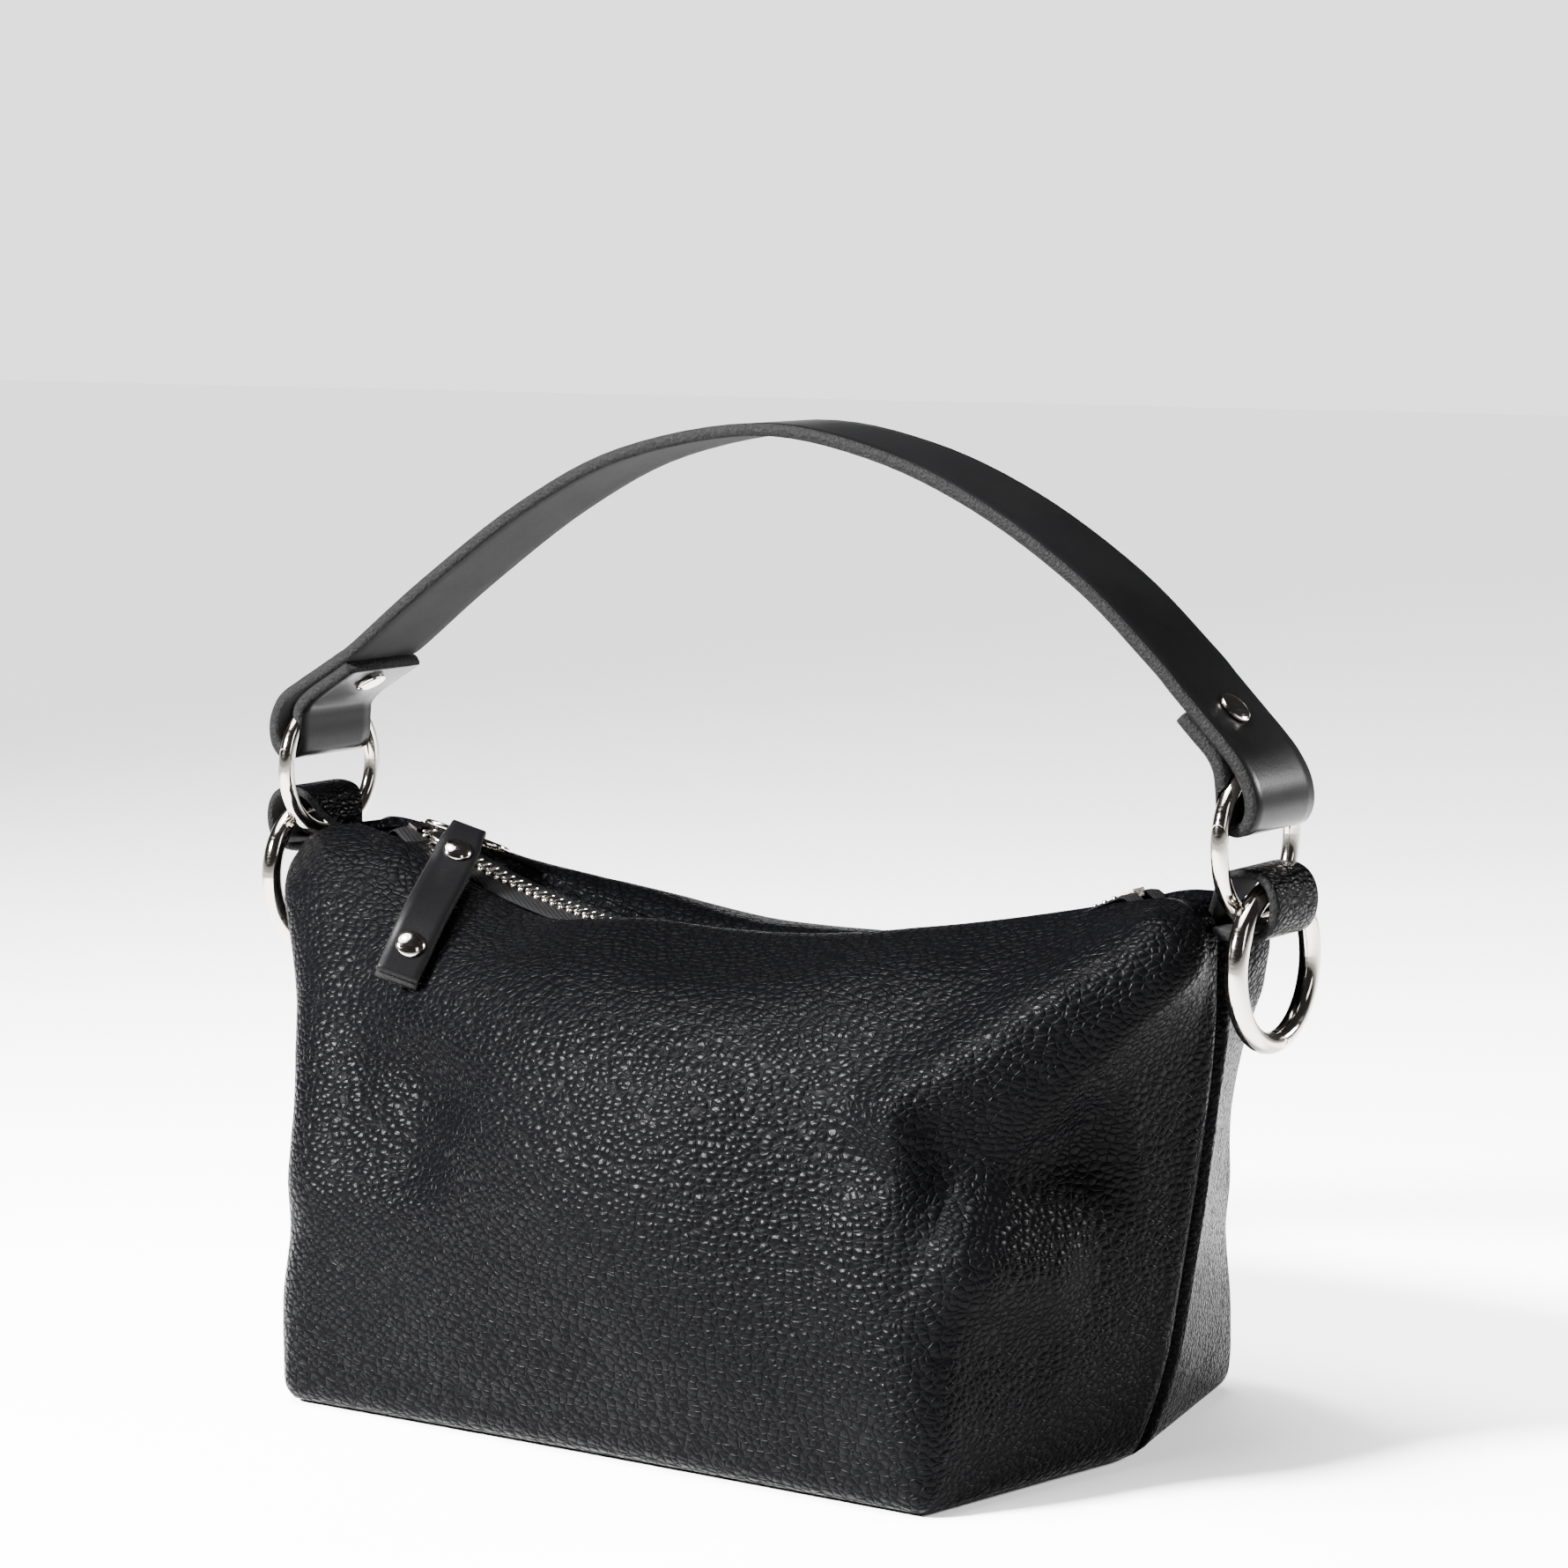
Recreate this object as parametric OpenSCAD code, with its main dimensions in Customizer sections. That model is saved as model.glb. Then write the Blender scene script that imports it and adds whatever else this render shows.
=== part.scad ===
// Small leather shoulder bag: a soft body with a boxed base and a sagging zipped top, a short strap on two
// spring-gate rings, and two more rings that hang from the end tabs.
// X runs along the bag, the front panel faces -Y, and the base stands on Z = 0.

/* [Body] */
// Half the length of the base, from its middle to an end seam
base_half = 107; // [95:1:112]
// Half the depth of the base
base_depth = 69; // [60:1:78]
// Half the length of the top, from its middle to an end seam
top_half = 127; // [122:1:130]
// Thickness of the body leather
leather = 2; // [1.2:0.1:2.4]
// Thickness of the board in the base
board = 1.6; // [1:0.1:2.5]

/* [Zip] */
// Height of the zip at its lowest point, in the middle
zip_low = 108; // [107:0.5:109]
// Radius of the arc that the zip sags along
zip_radius = 240; // [235:5:260]
// Pitch of the teeth on one side
tooth_pitch = 2.5; // [2:0.1:3]
// Place of the slider along the bag when the zip is shut
slider_x = -93; // [-93:1:-80]
// Width of the leather pull
pull_w = 10.8; // [8:0.2:11]
// Length of the leather pull, from its ring to its free end
pull_len = 58; // [40:1:60]

/* [Rings] */
// Radius of an upper ring, to the middle of its wire
upper_r = 17; // [17:0.1:17.5]
// Radius of an upper ring's wire
upper_wire = 2; // [1.6:0.1:2]
// Height of an upper ring's centre
upper_z = 146; // [146:0.1:146.5]
// Radius of a lower ring, to the middle of its wire
lower_r = 17.5; // [17:0.1:17.5]
// Radius of a lower ring's wire
lower_wire = 2.5; // [2:0.1:2.5]
// Height of a lower ring's centre
lower_z = 118.5; // [117:0.1:118.5]

/* [Strap] */
// Width of the strap
strap_w = 28.6; // [24:0.1:28.6]
// Thickness of the strap
strap_t = 3; // [2.4:0.1:3]
// Height of the strap's arch, to the middle of its thickness
strap_top = 236; // [215:1:250]

/* [Hidden] */

$fn = 96;

// Places of the rings along the bag, and size of the tabs that hold them
upper_x_left = -132.5;
upper_x_right = 134.5;
wire_gap = 0.35;
lower_x_left = upper_x_left - upper_wire - wire_gap - lower_wire;
lower_x_right = upper_x_right + upper_wire + wire_gap + lower_wire;
tab_w = 20.5;
tab_wall = 2.2;
tab_root = top_half + 0.3;
tab_end = lower_x_right + lower_wire + 1 + tab_wall;
tab_low = upper_z - upper_r - upper_wire - wire_gap - tab_wall;
tab_high = lower_z + lower_r + lower_wire + wire_gap + tab_wall;
tab_round = 4;

// Spring gates: angles of the hinge pin and of the free end, and the running gaps round the pin
upper_pin_at = 60;
upper_end_at = 172;
lower_pin_at = -84;
lower_end_at = 30;
pin_r = 0.7;
pin_gap = 0.06;
fork_gap = 0.15;
tongue = 0.65;
end_gap = 0.15;

// Zip section: widths across the bag, heights about the middle of the chain, and lengths along the bag
tooth_tip = 0.8;
tooth_root = 2.6;
tooth_t = 1.05;
tooth_h = 1;
bead = 0.7;
patch_half = 6;
patch_z = 127;
tape_t = 0.8;
tape_w = 8.8;
zip_half = 107;
chain_half = 102.3;
stop_len = 2.5;
plate = 1.3;
slider_len = 12;
slider_w = 9;
lip = 0.9;
run_gap = 0.35;
bridge_len = 2.4;
bridge_w = 8.4;
bridge_h = 4.9;
bridge_wall = 1.3;
zip_centre = zip_low + zip_radius;
plate_low = tooth_h + run_gap;
plate_high = plate_low + plate;

// Pull: its ring, its doubled leather and its rivets
ring_wire = 0.8;
ring_r = 4.7;
ring_bar = pull_w + 0.8;
ring_z = plate_high + 2;
ring_shift = 3;
ring_turn = 28;
ring_rise = 24;
pull_drop = -4;
pull_bend = 64;
pull_gap = 0.3;
pull_t = 1.5;
pull_slit = 0.3;
pull_eye = ring_wire + pull_gap;
pull_rivet_at = [9, pull_len - 9];
cap_r = 3.6;
cap_h = 1.4;
post_r = 1.1;

// Strap rivets
strap_cap_r = 4;
strap_post_r = 1.3;

// The body's panel is a smooth surface over these rows, from the base edge up to the zip. Each row has the
// panel's middle [y, z], its shoulder [x, y, z], its end seam [x, z], and how far the shoulder's corner is
// rounded towards the seam and towards the middle.
rows = [
    [[-base_depth, 0], [base_half - 14, -base_depth - 1, 0], [base_half, 0], [0.12, 0.1]],
    [[-base_depth - 4, 18], [base_half - 12, -base_depth - 2, 16], [base_half + 8, 18], [0.2, 0.2]],
    [[-base_depth - 5, 46], [base_half - 12, -base_depth + 4, 48], [top_half - 7, 45], [0.32, 0.3]],
    [[-base_depth - 1, 74], [base_half - 6, -base_depth + 14, 78], [top_half - 2, 75], [0.42, 0.4]],
    [[-60, 99], [116, -38, 104], [top_half + 1, 100], [0.42, 0.45]],
    [[-38, 112], [130, -25, 123], [top_half, 118], [0.45, 0.45]],
    [[-16, 115.5], [126, -13, 134], [top_half, 128], [0.45, 0.45]],
    [[-9.5, 107], [114, -9.5, 133], [top_half - 1, 131.5], [0.4, 0.45]]
];
panel_cols = 48;
panel_rows = 22;
seam_gap = 0.2;
allowance = 7;

// The strap's middle line, from the left flap's end round the left fold, over the arch, and round the right
// fold to the right flap's end
strap_path = [
    [-114.6, 172.8], [-119.7, 169.7], [-124, 167.2], [-128, 164.6], [-130.9, 161.6], [-131.5, 158],
    [-131.8, 153.6], [-132.8, 150.9], [-135, 149.9], [-137.2, 150.6], [-139, 153.5], [-138.9, 158.5],
    [-136, 163.6], [-130, 167.5], [-125.7, 170], [-121.4, 172.5], [-117, 175.1], [-112, 178.3],
    [-90, 194.8], [-60, 214.6], [-30, 228.4], [8, strap_top - 0.7], [40, 230.6], [69, 219.5], [96, 203],
    [115, 186.6], [121, 180.6], [125, 176.6], [129, 172.6], [133, 168.6], [136.7, 164.4],
    [139.6, 159.3], [140.4, 154.5], [139.2, 151], [136.9, 149.9], [134.7, 150.9], [133.4, 154.2],
    [133, 158.5], [132.3, 163], [130.3, 166.7], [126.7, 170.3], [122.7, 174.3]
];
path_steps = 6;

// A smooth curve that starts and ends on the end points of p, and bends towards the ones between
function joined(p, t) = let (
    n = len(p) - 2,
    a = min(max(t, 0), 1) * n,
    i = min(floor(a), n - 1),
    f = a - i,
    from = i == 0 ? p[0] : (p[i] + p[i + 1]) / 2,
    to = i == n - 1 ? p[n + 1] : (p[i + 1] + p[i + 2]) / 2
) (1 - f) * (1 - f) * from + 2 * f * (1 - f) * p[i + 1] + f * f * to;

// A smooth curve through every point of p
function through(p, steps) = let (last = len(p) - 1) [
    for (i = [0:last - 1], k = [0:steps - 1]) let (
        f = k / steps,
        a = p[max(i - 1, 0)],
        b = p[i],
        c = p[i + 1],
        d = p[min(i + 2, last)]
    ) b + (c - a) / 2 * f + (a * 2 - b * 5 + c * 4 - d) / 2 * f * f + (b * 3 - a - c * 3 + d) / 2 * f * f * f,
    p[last]
];

// Points beside a flat path, at a distance to its left
function beside(p, gap) = let (last = len(p) - 1) [
    for (i = [0:last]) let (
        along = p[min(i + 1, last)] - p[max(i - 1, 0)],
        across = [-along.y, along.x] / norm(along)
    ) p[i] + across * gap
];

function backwards(p) = [for (i = [len(p) - 1:-1:0]) p[i]];

// Half a row of the panel's control points, from its middle to an end seam; side is 1 for the right end
function half_row(r, side) = let (
    middle = [0, r[0].x, r[0].y],
    shoulder = [side * r[1].x, r[1].y, r[1].z],
    seam = [side * r[2].x, 0, r[2].y]
) [middle, shoulder + (middle - shoulder) * r[3].y, shoulder, shoulder + (seam - shoulder) * r[3].x, seam];

function whole_row(r) = let (left = half_row(r, -1), right = half_row(r, 1))
    [for (i = [4:-1:0]) left[i], for (i = [1:4]) right[i]];

function panel_point(u, v) = joined([for (r = rows) joined(whole_row(r), u)], v);

function unit(v) = v / norm(v);

// Direction out of the panel; it lies level along the base edge and along the bag at an end seam
function panel_normal(u, v) = let (
    d = 0.004,
    along = panel_point(min(u + d, 1), v) - panel_point(max(u - d, 0), v),
    up = panel_point(u, min(v + d, 1)) - panel_point(u, max(v - d, 0)),
    n = cross(along, up)
) unit(v == 0 ? [n.x, n.y, 0] : u == 0 || u == 1 ? [n.x, 0, n.z] : n);

function clear_of_seam(p) = [p.x, min(p.y, -seam_gap), p.z];

// The panel's outer or inner skin: one row of points after another, from the base edge up
function panel_skin(depth) = [
    for (i = [0:panel_rows]) let (v = i / panel_rows)
        [for (j = [0:panel_cols]) let (u = j / panel_cols)
            clear_of_seam(panel_point(u, v) - panel_normal(u, v) * depth)]
];

function flat(lists) = [for (l = lists) for (p = l) p];

// Faces of a thick sheet from two skins of the same number of rows and columns, the outer skin first
function sheet_faces(nr, nc) = let (w = nc + 1, far = (nr + 1) * w) [
    for (i = [0:nr - 1], j = [0:nc - 1]) let (a = i * w + j) each [
        [a, a + w, a + 1], [a + 1, a + w, a + w + 1],
        [far + a, far + a + 1, far + a + w], [far + a + 1, far + a + w + 1, far + a + w]
    ],
    for (j = [0:nc - 1]) let (b = nr * w + j) each [
        [j, j + 1, far + j], [j + 1, far + j + 1, far + j],
        [b, far + b, b + 1], [b + 1, far + b, far + b + 1]
    ],
    for (i = [0:nr - 1]) let (a = i * w, b = i * w + nc) each [
        [a, far + a, a + w], [a + w, far + a, far + a + w],
        [b, b + w, far + b], [b + w, far + b + w, far + b]
    ]
];

module panel() {
    polyhedron(
        points = concat(flat(panel_skin(0)), flat(panel_skin(leather))),
        faces = sheet_faces(panel_rows, panel_cols)
    );
}

module front_panel() {
    color("#1b1b1d") panel();
}

module back_panel() {
    color("#1b1b1d") mirror([0, 1, 0]) panel();
}

// Inside outline of the two panels along the base
function base_outline() = let (
    inner = panel_skin(leather + 0.05)[0],
    front = [for (p = inner) [p.x, p.y]]
) concat(front, [for (i = [panel_cols:-1:0]) [front[i].x, -front[i].y]]);

module base_panel() {
    color("#1b1b1d") linear_extrude(leather) polygon(base_outline());
}

module base_board() {
    color("#4a3a2c") translate([0, 0, leather + 0.05])
        linear_extrude(board) scale([0.96, 0.96]) polygon(base_outline());
}

// Seam allowance folded inside the bag at one end; side is 1 at the right
module end_seam(side) {
    outer = [for (k = [2:18]) let (p = panel_point(1, k / 22)) [p.x - leather - 1.2, p.z]];
    inner = [for (p = outer) [p.x - allowance, p.y]];
    color("#202022") mirror([side > 0 ? 0 : 1, 0, 0]) rotate([90, 0, 0])
        linear_extrude(2 * leather, center = true) polygon(concat(outer, backwards(inner)));
}

module end_seam_left() {
    end_seam(-1);
}

module end_seam_right() {
    end_seam(1);
}

// Angle of a place along the zip's arc
function zip_angle(x) = asin(x / zip_radius);

// Stands its children on the middle of the chain at x, with Z square to the zip
module at_zip(x) {
    translate([0, 0, zip_centre]) rotate([0, -zip_angle(x), 0]) translate([0, 0, -zip_radius]) children();
}

// A bar along the zip from x0 to x1, from y0 to y1 across the bag and z0 to z1 about the chain
module zip_bar(x0, x1, y0, y1, z0, z1) {
    start = zip_angle(x0);
    sweep = zip_angle(x1) - start;
    translate([0, 0, zip_centre]) rotate([90, 0, 0]) rotate([0, 0, start - 90])
        rotate_extrude(angle = sweep, $fn = 1440)
            translate([zip_radius - z1, -y1]) square([z1 - z0, y1 - y0]);
}

module zip_tape(side) {
    color("#151515") mirror([0, side > 0 ? 0 : 1, 0])
        zip_bar(-zip_half, zip_half, tooth_root + 0.1, tape_w, -tape_t / 2, tape_t / 2);
}

module zip_tape_front() {
    zip_tape(-1);
}

module zip_tape_back() {
    zip_tape(1);
}

// One side's teeth, clamped on the bead of its tape; the two sides stand half a pitch apart
module zip_teeth(side) {
    color("#c9c4ba") mirror([0, side > 0 ? 0 : 1, 0]) union() {
        zip_bar(-chain_half, chain_half, tooth_root - bead, tooth_root, -tooth_h * 0.7, tooth_h * 0.7);
        for (x = [-chain_half + tooth_pitch * (side > 0 ? 0.3 : 0.8):tooth_pitch:chain_half - 1])
            at_zip(x) translate([-tooth_t / 2, -tooth_tip, -tooth_h])
                cube([tooth_t, tooth_tip + tooth_root - bead / 2, 2 * tooth_h]);
    }
}

module zip_teeth_front() {
    zip_teeth(-1);
}

module zip_teeth_back() {
    zip_teeth(1);
}

module zip_top_stop(side) {
    color("#c9c4ba") mirror([0, side, 0])
        zip_bar(-chain_half - stop_len - 0.2, -chain_half - 0.2, 0.4, tooth_root, -tooth_h, tooth_h);
}
module zip_top_stop_front() {
    zip_top_stop(1);
}
module zip_top_stop_back() {
    zip_top_stop(0);
}
module zip_bottom_stop() {
    color("#c9c4ba") zip_bar(chain_half + 0.2, chain_half + 0.2 + stop_len, -tooth_root, tooth_root,
        -tooth_h, tooth_h);
}

// Leather patch that closes the top between an end of the zip and the end seam; side is 1 at the right
module zip_end(side) {
    x0 = zip_half + 0.3;
    x1 = top_half - leather - 2;
    color("#1b1b1d") mirror([side > 0 ? 0 : 1, 0, 0]) rotate([90, 0, 0])
        linear_extrude(2 * patch_half, center = true)
            polygon([[x0, patch_z - 2], [x1, patch_z], [x1, patch_z + leather], [x0, patch_z + leather - 2]]);
}

module zip_end_left() {
    zip_end(-1);
}

module zip_end_right() {
    zip_end(1);
}

// Leather loop that is sewn to the end of the bag and holds both rings; side is 1 at the right
module tab(side) {
    color("#1b1b1d") mirror([side > 0 ? 0 : 1, 0, 0]) rotate([90, 0, 0])
        linear_extrude(tab_w, center = true) difference() {
            tab_outline(tab_root, tab_end, tab_low, tab_high, tab_round, 4);
            tab_outline(tab_root + tab_wall, tab_end - tab_wall, tab_low + tab_wall, tab_high - tab_wall,
                tab_round - tab_wall, 0.6);
        }
}

// Upright oblong whose far corners are round and whose near end narrows
module tab_outline(x0, x1, z0, z1, r, narrow) {
    polygon([[x0, z0 + narrow], [x0 + 1.2 * narrow, z0], [x1 - r, z0], [x1 - r, z1], [x0 + narrow, z1],
        [x0, z1 - narrow / 2]]);
    translate([x1 - r - 0.01, z0 + r]) square([r + 0.01, z1 - z0 - 2 * r]);
    translate([x1 - r, z0 + r]) circle(r);
    translate([x1 - r, z1 - r]) circle(r);
}

module tab_left() {
    tab(-1);
}

module tab_right() {
    tab(1);
}

// Slider: two plates with lips round the chain, and a bridge on top for the pull's ring
module zip_slider() {
    half = slider_len / 2;
    x0 = slider_x - half;
    x1 = slider_x + half;
    edge = slider_w / 2;
    lip_end = tape_t / 2 + run_gap;
    color("#d8d3c8") union() {
        zip_bar(x0, x1, -edge, edge, plate_low, plate_high);
        zip_bar(x0, x1, -edge, edge, -plate_high, -plate_low);
        for (y = [-edge, edge - lip]) {
            zip_bar(x0, x1, y, y + lip, lip_end, plate_low);
            zip_bar(x0, x1, y, y + lip, -plate_low, -lip_end);
        }
        at_zip(slider_x) translate([0, 0, plate_high - 0.15]) rotate([90, 0, 90])
            linear_extrude(bridge_len, center = true) bridge_outline();
    }
}

module bridge_outline() {
    difference() {
        bridge_shape(bridge_w / 2, bridge_h);
        bridge_shape(bridge_w / 2 - bridge_wall, bridge_h - bridge_wall);
    }
}

module bridge_shape(half, high) {
    r = 1.6;
    translate([-half, 0]) square([2 * half, high - r]);
    translate([-half + r, high - r - 0.01]) square([2 * (half - r), r + 0.01]);
    for (s = [-1, 1]) translate([s * (half - r), high - r]) circle(r);
}

// Stands its children on the middle of the pull's ring, whose back bar runs through the slider's bridge
module at_pull_ring() {
    at_zip(slider_x) translate([0, 0, ring_z]) rotate([0, 0, ring_turn]) rotate([-ring_rise, 0, 0])
        translate([ring_shift, -ring_r, 0]) children();
}

// Oblong wire ring with two straight sides and two round ends
module pull_ring() {
    color("#d8d3c8") at_pull_ring() {
        for (s = [-1, 1]) {
            translate([s * ring_bar / 2, 0, 0]) rotate([0, 0, -s * 90])
                rotate_extrude(angle = 180) translate([ring_r, 0]) circle(ring_wire, $fn = 48);
            translate([0, s * ring_r, 0]) rotate([0, 90, 0])
                cylinder(r = ring_wire, h = ring_bar, center = true, $fn = 48);
        }
    }
}

// Stands its children on the pull's eye, round the ring's front bar, with -Y along the pull
module at_pull() {
    at_pull_ring() translate([0, -ring_r, 0]) rotate([pull_drop + ring_rise, 0, 0]) children();
}

// Strip that leaves the eye along -Y and bends down, from h0 to h1 above its middle
module bent_strip(h0, h1, width, length) {
    translate([0, 0, -pull_bend]) rotate([90, 0, 90])
        translate([0, 0, -width / 2]) rotate([0, 0, 90])
            rotate_extrude(angle = length / pull_bend * 180 / PI, $fn = 720)
                translate([pull_bend + h0, 0]) square([h1 - h0, width]);
}

// Stands its children on the middle of the bent pull, at a distance from its eye
module on_pull(d) {
    translate([0, 0, -pull_bend]) rotate([d / pull_bend * 180 / PI, 0, 0])
        translate([0, 0, pull_bend]) children();
}

// Strip of leather folded over the ring and riveted to itself
module pull_tab() {
    half_t = pull_t + pull_slit / 2;
    eye_out = pull_eye + pull_t;
    color("#161617") at_pull() difference() {
        union() {
            rotate([0, 90, 0]) cylinder(r = eye_out, h = pull_w, center = true);
            bent_strip(-half_t, half_t, pull_w, pull_len);
        }
        rotate([0, 90, 0]) cylinder(r = pull_eye, h = pull_w + 2, center = true);
        bent_strip(-pull_slit / 2, pull_slit / 2, pull_w + 2, pull_len + 1);
        for (d = pull_rivet_at) on_pull(d) cylinder(r = post_r, h = 20, center = true);
    }
}

// Rivet through a sheet of thickness t, with a domed cap on top and a cap of height low underneath
module rivet(cap, post, t, high, low) {
    cylinder(r = post, h = t + 0.2, center = true);
    translate([0, 0, t / 2]) rivet_cap(cap, high);
    translate([0, 0, -t / 2]) mirror([0, 0, 1]) rivet_cap(cap, low);
}

module rivet_cap(cap, high) {
    edge = 0.35;
    dome = [for (a = [0:15:90]) [cap * cos(a), high * (edge + (1 - edge) * sin(a))]];
    rotate_extrude() polygon(concat([[0, 0], [cap, 0]], dome));
}

module pull_rivet(d) {
    color("#d8d3c8") at_pull() on_pull(d) rivet(cap_r, post_r, 2 * pull_t + pull_slit + 0.3, cap_h, 0.5);
}
module pull_rivet_upper() {
    pull_rivet(pull_rivet_at[0]);
}
module pull_rivet_lower() {
    pull_rivet(pull_rivet_at[1]);
}

// A whole ring of round wire in the YZ plane
module wire_ring(r, wire) {
    rotate([90, 0, 90]) rotate_extrude() translate([r, 0]) circle(wire, $fn = 48);
}

// Place on a ring's wire at an angle from +Y towards +Z
function on_ring(r, a) = [0, r * cos(a), r * sin(a)];

module along_x(r, h) {
    rotate([0, 90, 0]) cylinder(r = r, h = h, center = true);
}

// Wedge of the YZ plane that holds a gate, a little wider than from its pin to its free end
module gate_wedge(r, pin_at, end_at) {
    far = 3 * r;
    sweep = end_at + 30 - pin_at;
    rim = [for (k = [0:4]) let (a = pin_at + sweep * k / 4) [far * cos(a), far * sin(a)]];
    rotate([90, 0, 90]) linear_extrude(4 * r, center = true) polygon(concat([[0, 0]], rim));
}

// The gate swings inside a round cut about its pin, so the cut's radius is the chord to its free end
function gate_reach(r, pin_at, end_at) = norm(on_ring(r, end_at) - on_ring(r, pin_at));

module ring_frame(r, wire, pin_at, end_at) {
    pin = on_ring(r, pin_at);
    reach = gate_reach(r, pin_at, end_at);
    color("#d5d2cb") difference() {
        wire_ring(r, wire);
        difference() {
            intersection() {
                gate_wedge(r, pin_at, end_at);
                translate(pin) along_x(reach + end_gap / 2, 4 * wire);
            }
            translate(pin) along_x(wire + 0.3, 4 * wire);
        }
        translate(pin) along_x(wire + 0.6, 2 * (tongue + fork_gap));
        translate(pin) along_x(pin_r, 4 * wire);
    }
}

module ring_gate(r, wire, pin_at, end_at) {
    pin = on_ring(r, pin_at);
    reach = gate_reach(r, pin_at, end_at);
    color("#dcd9d2") difference() {
        intersection() {
            wire_ring(r, wire);
            translate(pin) along_x(reach - end_gap / 2, 4 * wire);
            union() {
                gate_wedge(r, pin_at, end_at);
                translate(pin) along_x(wire - 0.1, 4 * wire);
            }
        }
        for (s = [-1, 1]) translate(pin) translate([s * (tongue + 2 * wire), 0, 0])
            along_x(wire + 0.5, 4 * wire);
        translate(pin) along_x(pin_r + pin_gap, 4 * wire);
    }
}

module ring_pin(r, wire, pin_at) {
    color("#b9b5ac") translate(on_ring(r, pin_at)) along_x(pin_r, 2 * wire - 0.3);
}

module at_upper(x) {
    translate([x, 0, upper_z]) children();
}

module at_lower(x, side) {
    translate([x, 0, lower_z]) mirror([0, side > 0 ? 0 : 1, 0]) children();
}

module upper_ring_left() {
    at_upper(upper_x_left) ring_frame(upper_r, upper_wire, upper_pin_at, upper_end_at);
}

module upper_gate_left() {
    at_upper(upper_x_left) ring_gate(upper_r, upper_wire, upper_pin_at, upper_end_at);
}

module upper_pin_left() {
    at_upper(upper_x_left) ring_pin(upper_r, upper_wire, upper_pin_at);
}

module upper_ring_right() {
    at_upper(upper_x_right) ring_frame(upper_r, upper_wire, upper_pin_at, upper_end_at);
}

module upper_gate_right() {
    at_upper(upper_x_right) ring_gate(upper_r, upper_wire, upper_pin_at, upper_end_at);
}

module upper_pin_right() {
    at_upper(upper_x_right) ring_pin(upper_r, upper_wire, upper_pin_at);
}

module lower_ring_left() {
    at_lower(lower_x_left, -1) ring_frame(lower_r, lower_wire, lower_pin_at, lower_end_at);
}

module lower_gate_left() {
    at_lower(lower_x_left, -1) ring_gate(lower_r, lower_wire, lower_pin_at, lower_end_at);
}

module lower_pin_left() {
    at_lower(lower_x_left, -1) ring_pin(lower_r, lower_wire, lower_pin_at);
}

module lower_ring_right() {
    at_lower(lower_x_right, 1) ring_frame(lower_r, lower_wire, lower_pin_at, lower_end_at);
}

module lower_gate_right() {
    at_lower(lower_x_right, 1) ring_gate(lower_r, lower_wire, lower_pin_at, lower_end_at);
}

module lower_pin_right() {
    at_lower(lower_x_right, 1) ring_pin(lower_r, lower_wire, lower_pin_at);
}

// Places of the strap's rivets, on the middle of its two layers, and the strap's slope there
rivet_left = [-120.6, 171.1];
slope_left = 30;
rivet_right = [126.3, 172.9];
slope_right = -45;

module at_rivet(place, slope) {
    translate([place.x, 0, place.y]) rotate([0, -slope, 0]) children();
}

// One strip of thick leather whose ends fold under, up and are riveted back; the rings' wires run in round
// grooves inside the two folds
module strap() {
    line = through(strap_path, path_steps);
    color("#1a1a1b") difference() {
        rotate([90, 0, 0]) linear_extrude(strap_w, center = true)
            polygon(concat(beside(line, strap_t / 2), backwards(beside(line, -strap_t / 2))));
        for (x = [upper_x_left, upper_x_right]) at_upper(x) wire_ring(upper_r, upper_wire + run_gap);
        at_rivet(rivet_left, slope_left) cylinder(r = strap_post_r, h = 20, center = true);
        at_rivet(rivet_right, slope_right) cylinder(r = strap_post_r, h = 20, center = true);
    }
}

module strap_rivet() {
    color("#d8d3c8") rivet(strap_cap_r, strap_post_r, 2 * strap_t + 1.2, 1.3, 1.3);
}

module strap_rivet_left() {
    at_rivet(rivet_left, slope_left) strap_rivet();
}

module strap_rivet_right() {
    at_rivet(rivet_right, slope_right) strap_rivet();
}

front_panel();
back_panel();
base_panel();
base_board();
end_seam_left();
end_seam_right();
zip_tape_front();
zip_tape_back();
zip_teeth_front();
zip_teeth_back();
zip_top_stop_front();
zip_top_stop_back();
zip_bottom_stop();
zip_end_left();
zip_end_right();
tab_left();
tab_right();
zip_slider();
pull_ring();
pull_tab();
pull_rivet_upper();
pull_rivet_lower();
strap();
strap_rivet_left();
strap_rivet_right();
upper_ring_left();
upper_gate_left();
upper_pin_left();
upper_ring_right();
upper_gate_right();
upper_pin_right();
lower_ring_left();
lower_gate_left();
lower_pin_left();
lower_ring_right();
lower_gate_right();
lower_pin_right();
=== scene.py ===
"""Looks of the small black leather shoulder bag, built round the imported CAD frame. Lengths are millimetres in the
frame's own axes, unless a comment says metres; make_mesh turns them into metres."""
import math

import bmesh
import bpy
import numpy as np
from mathutils import Matrix, Vector
from mathutils.bvhtree import BVHTree


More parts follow.
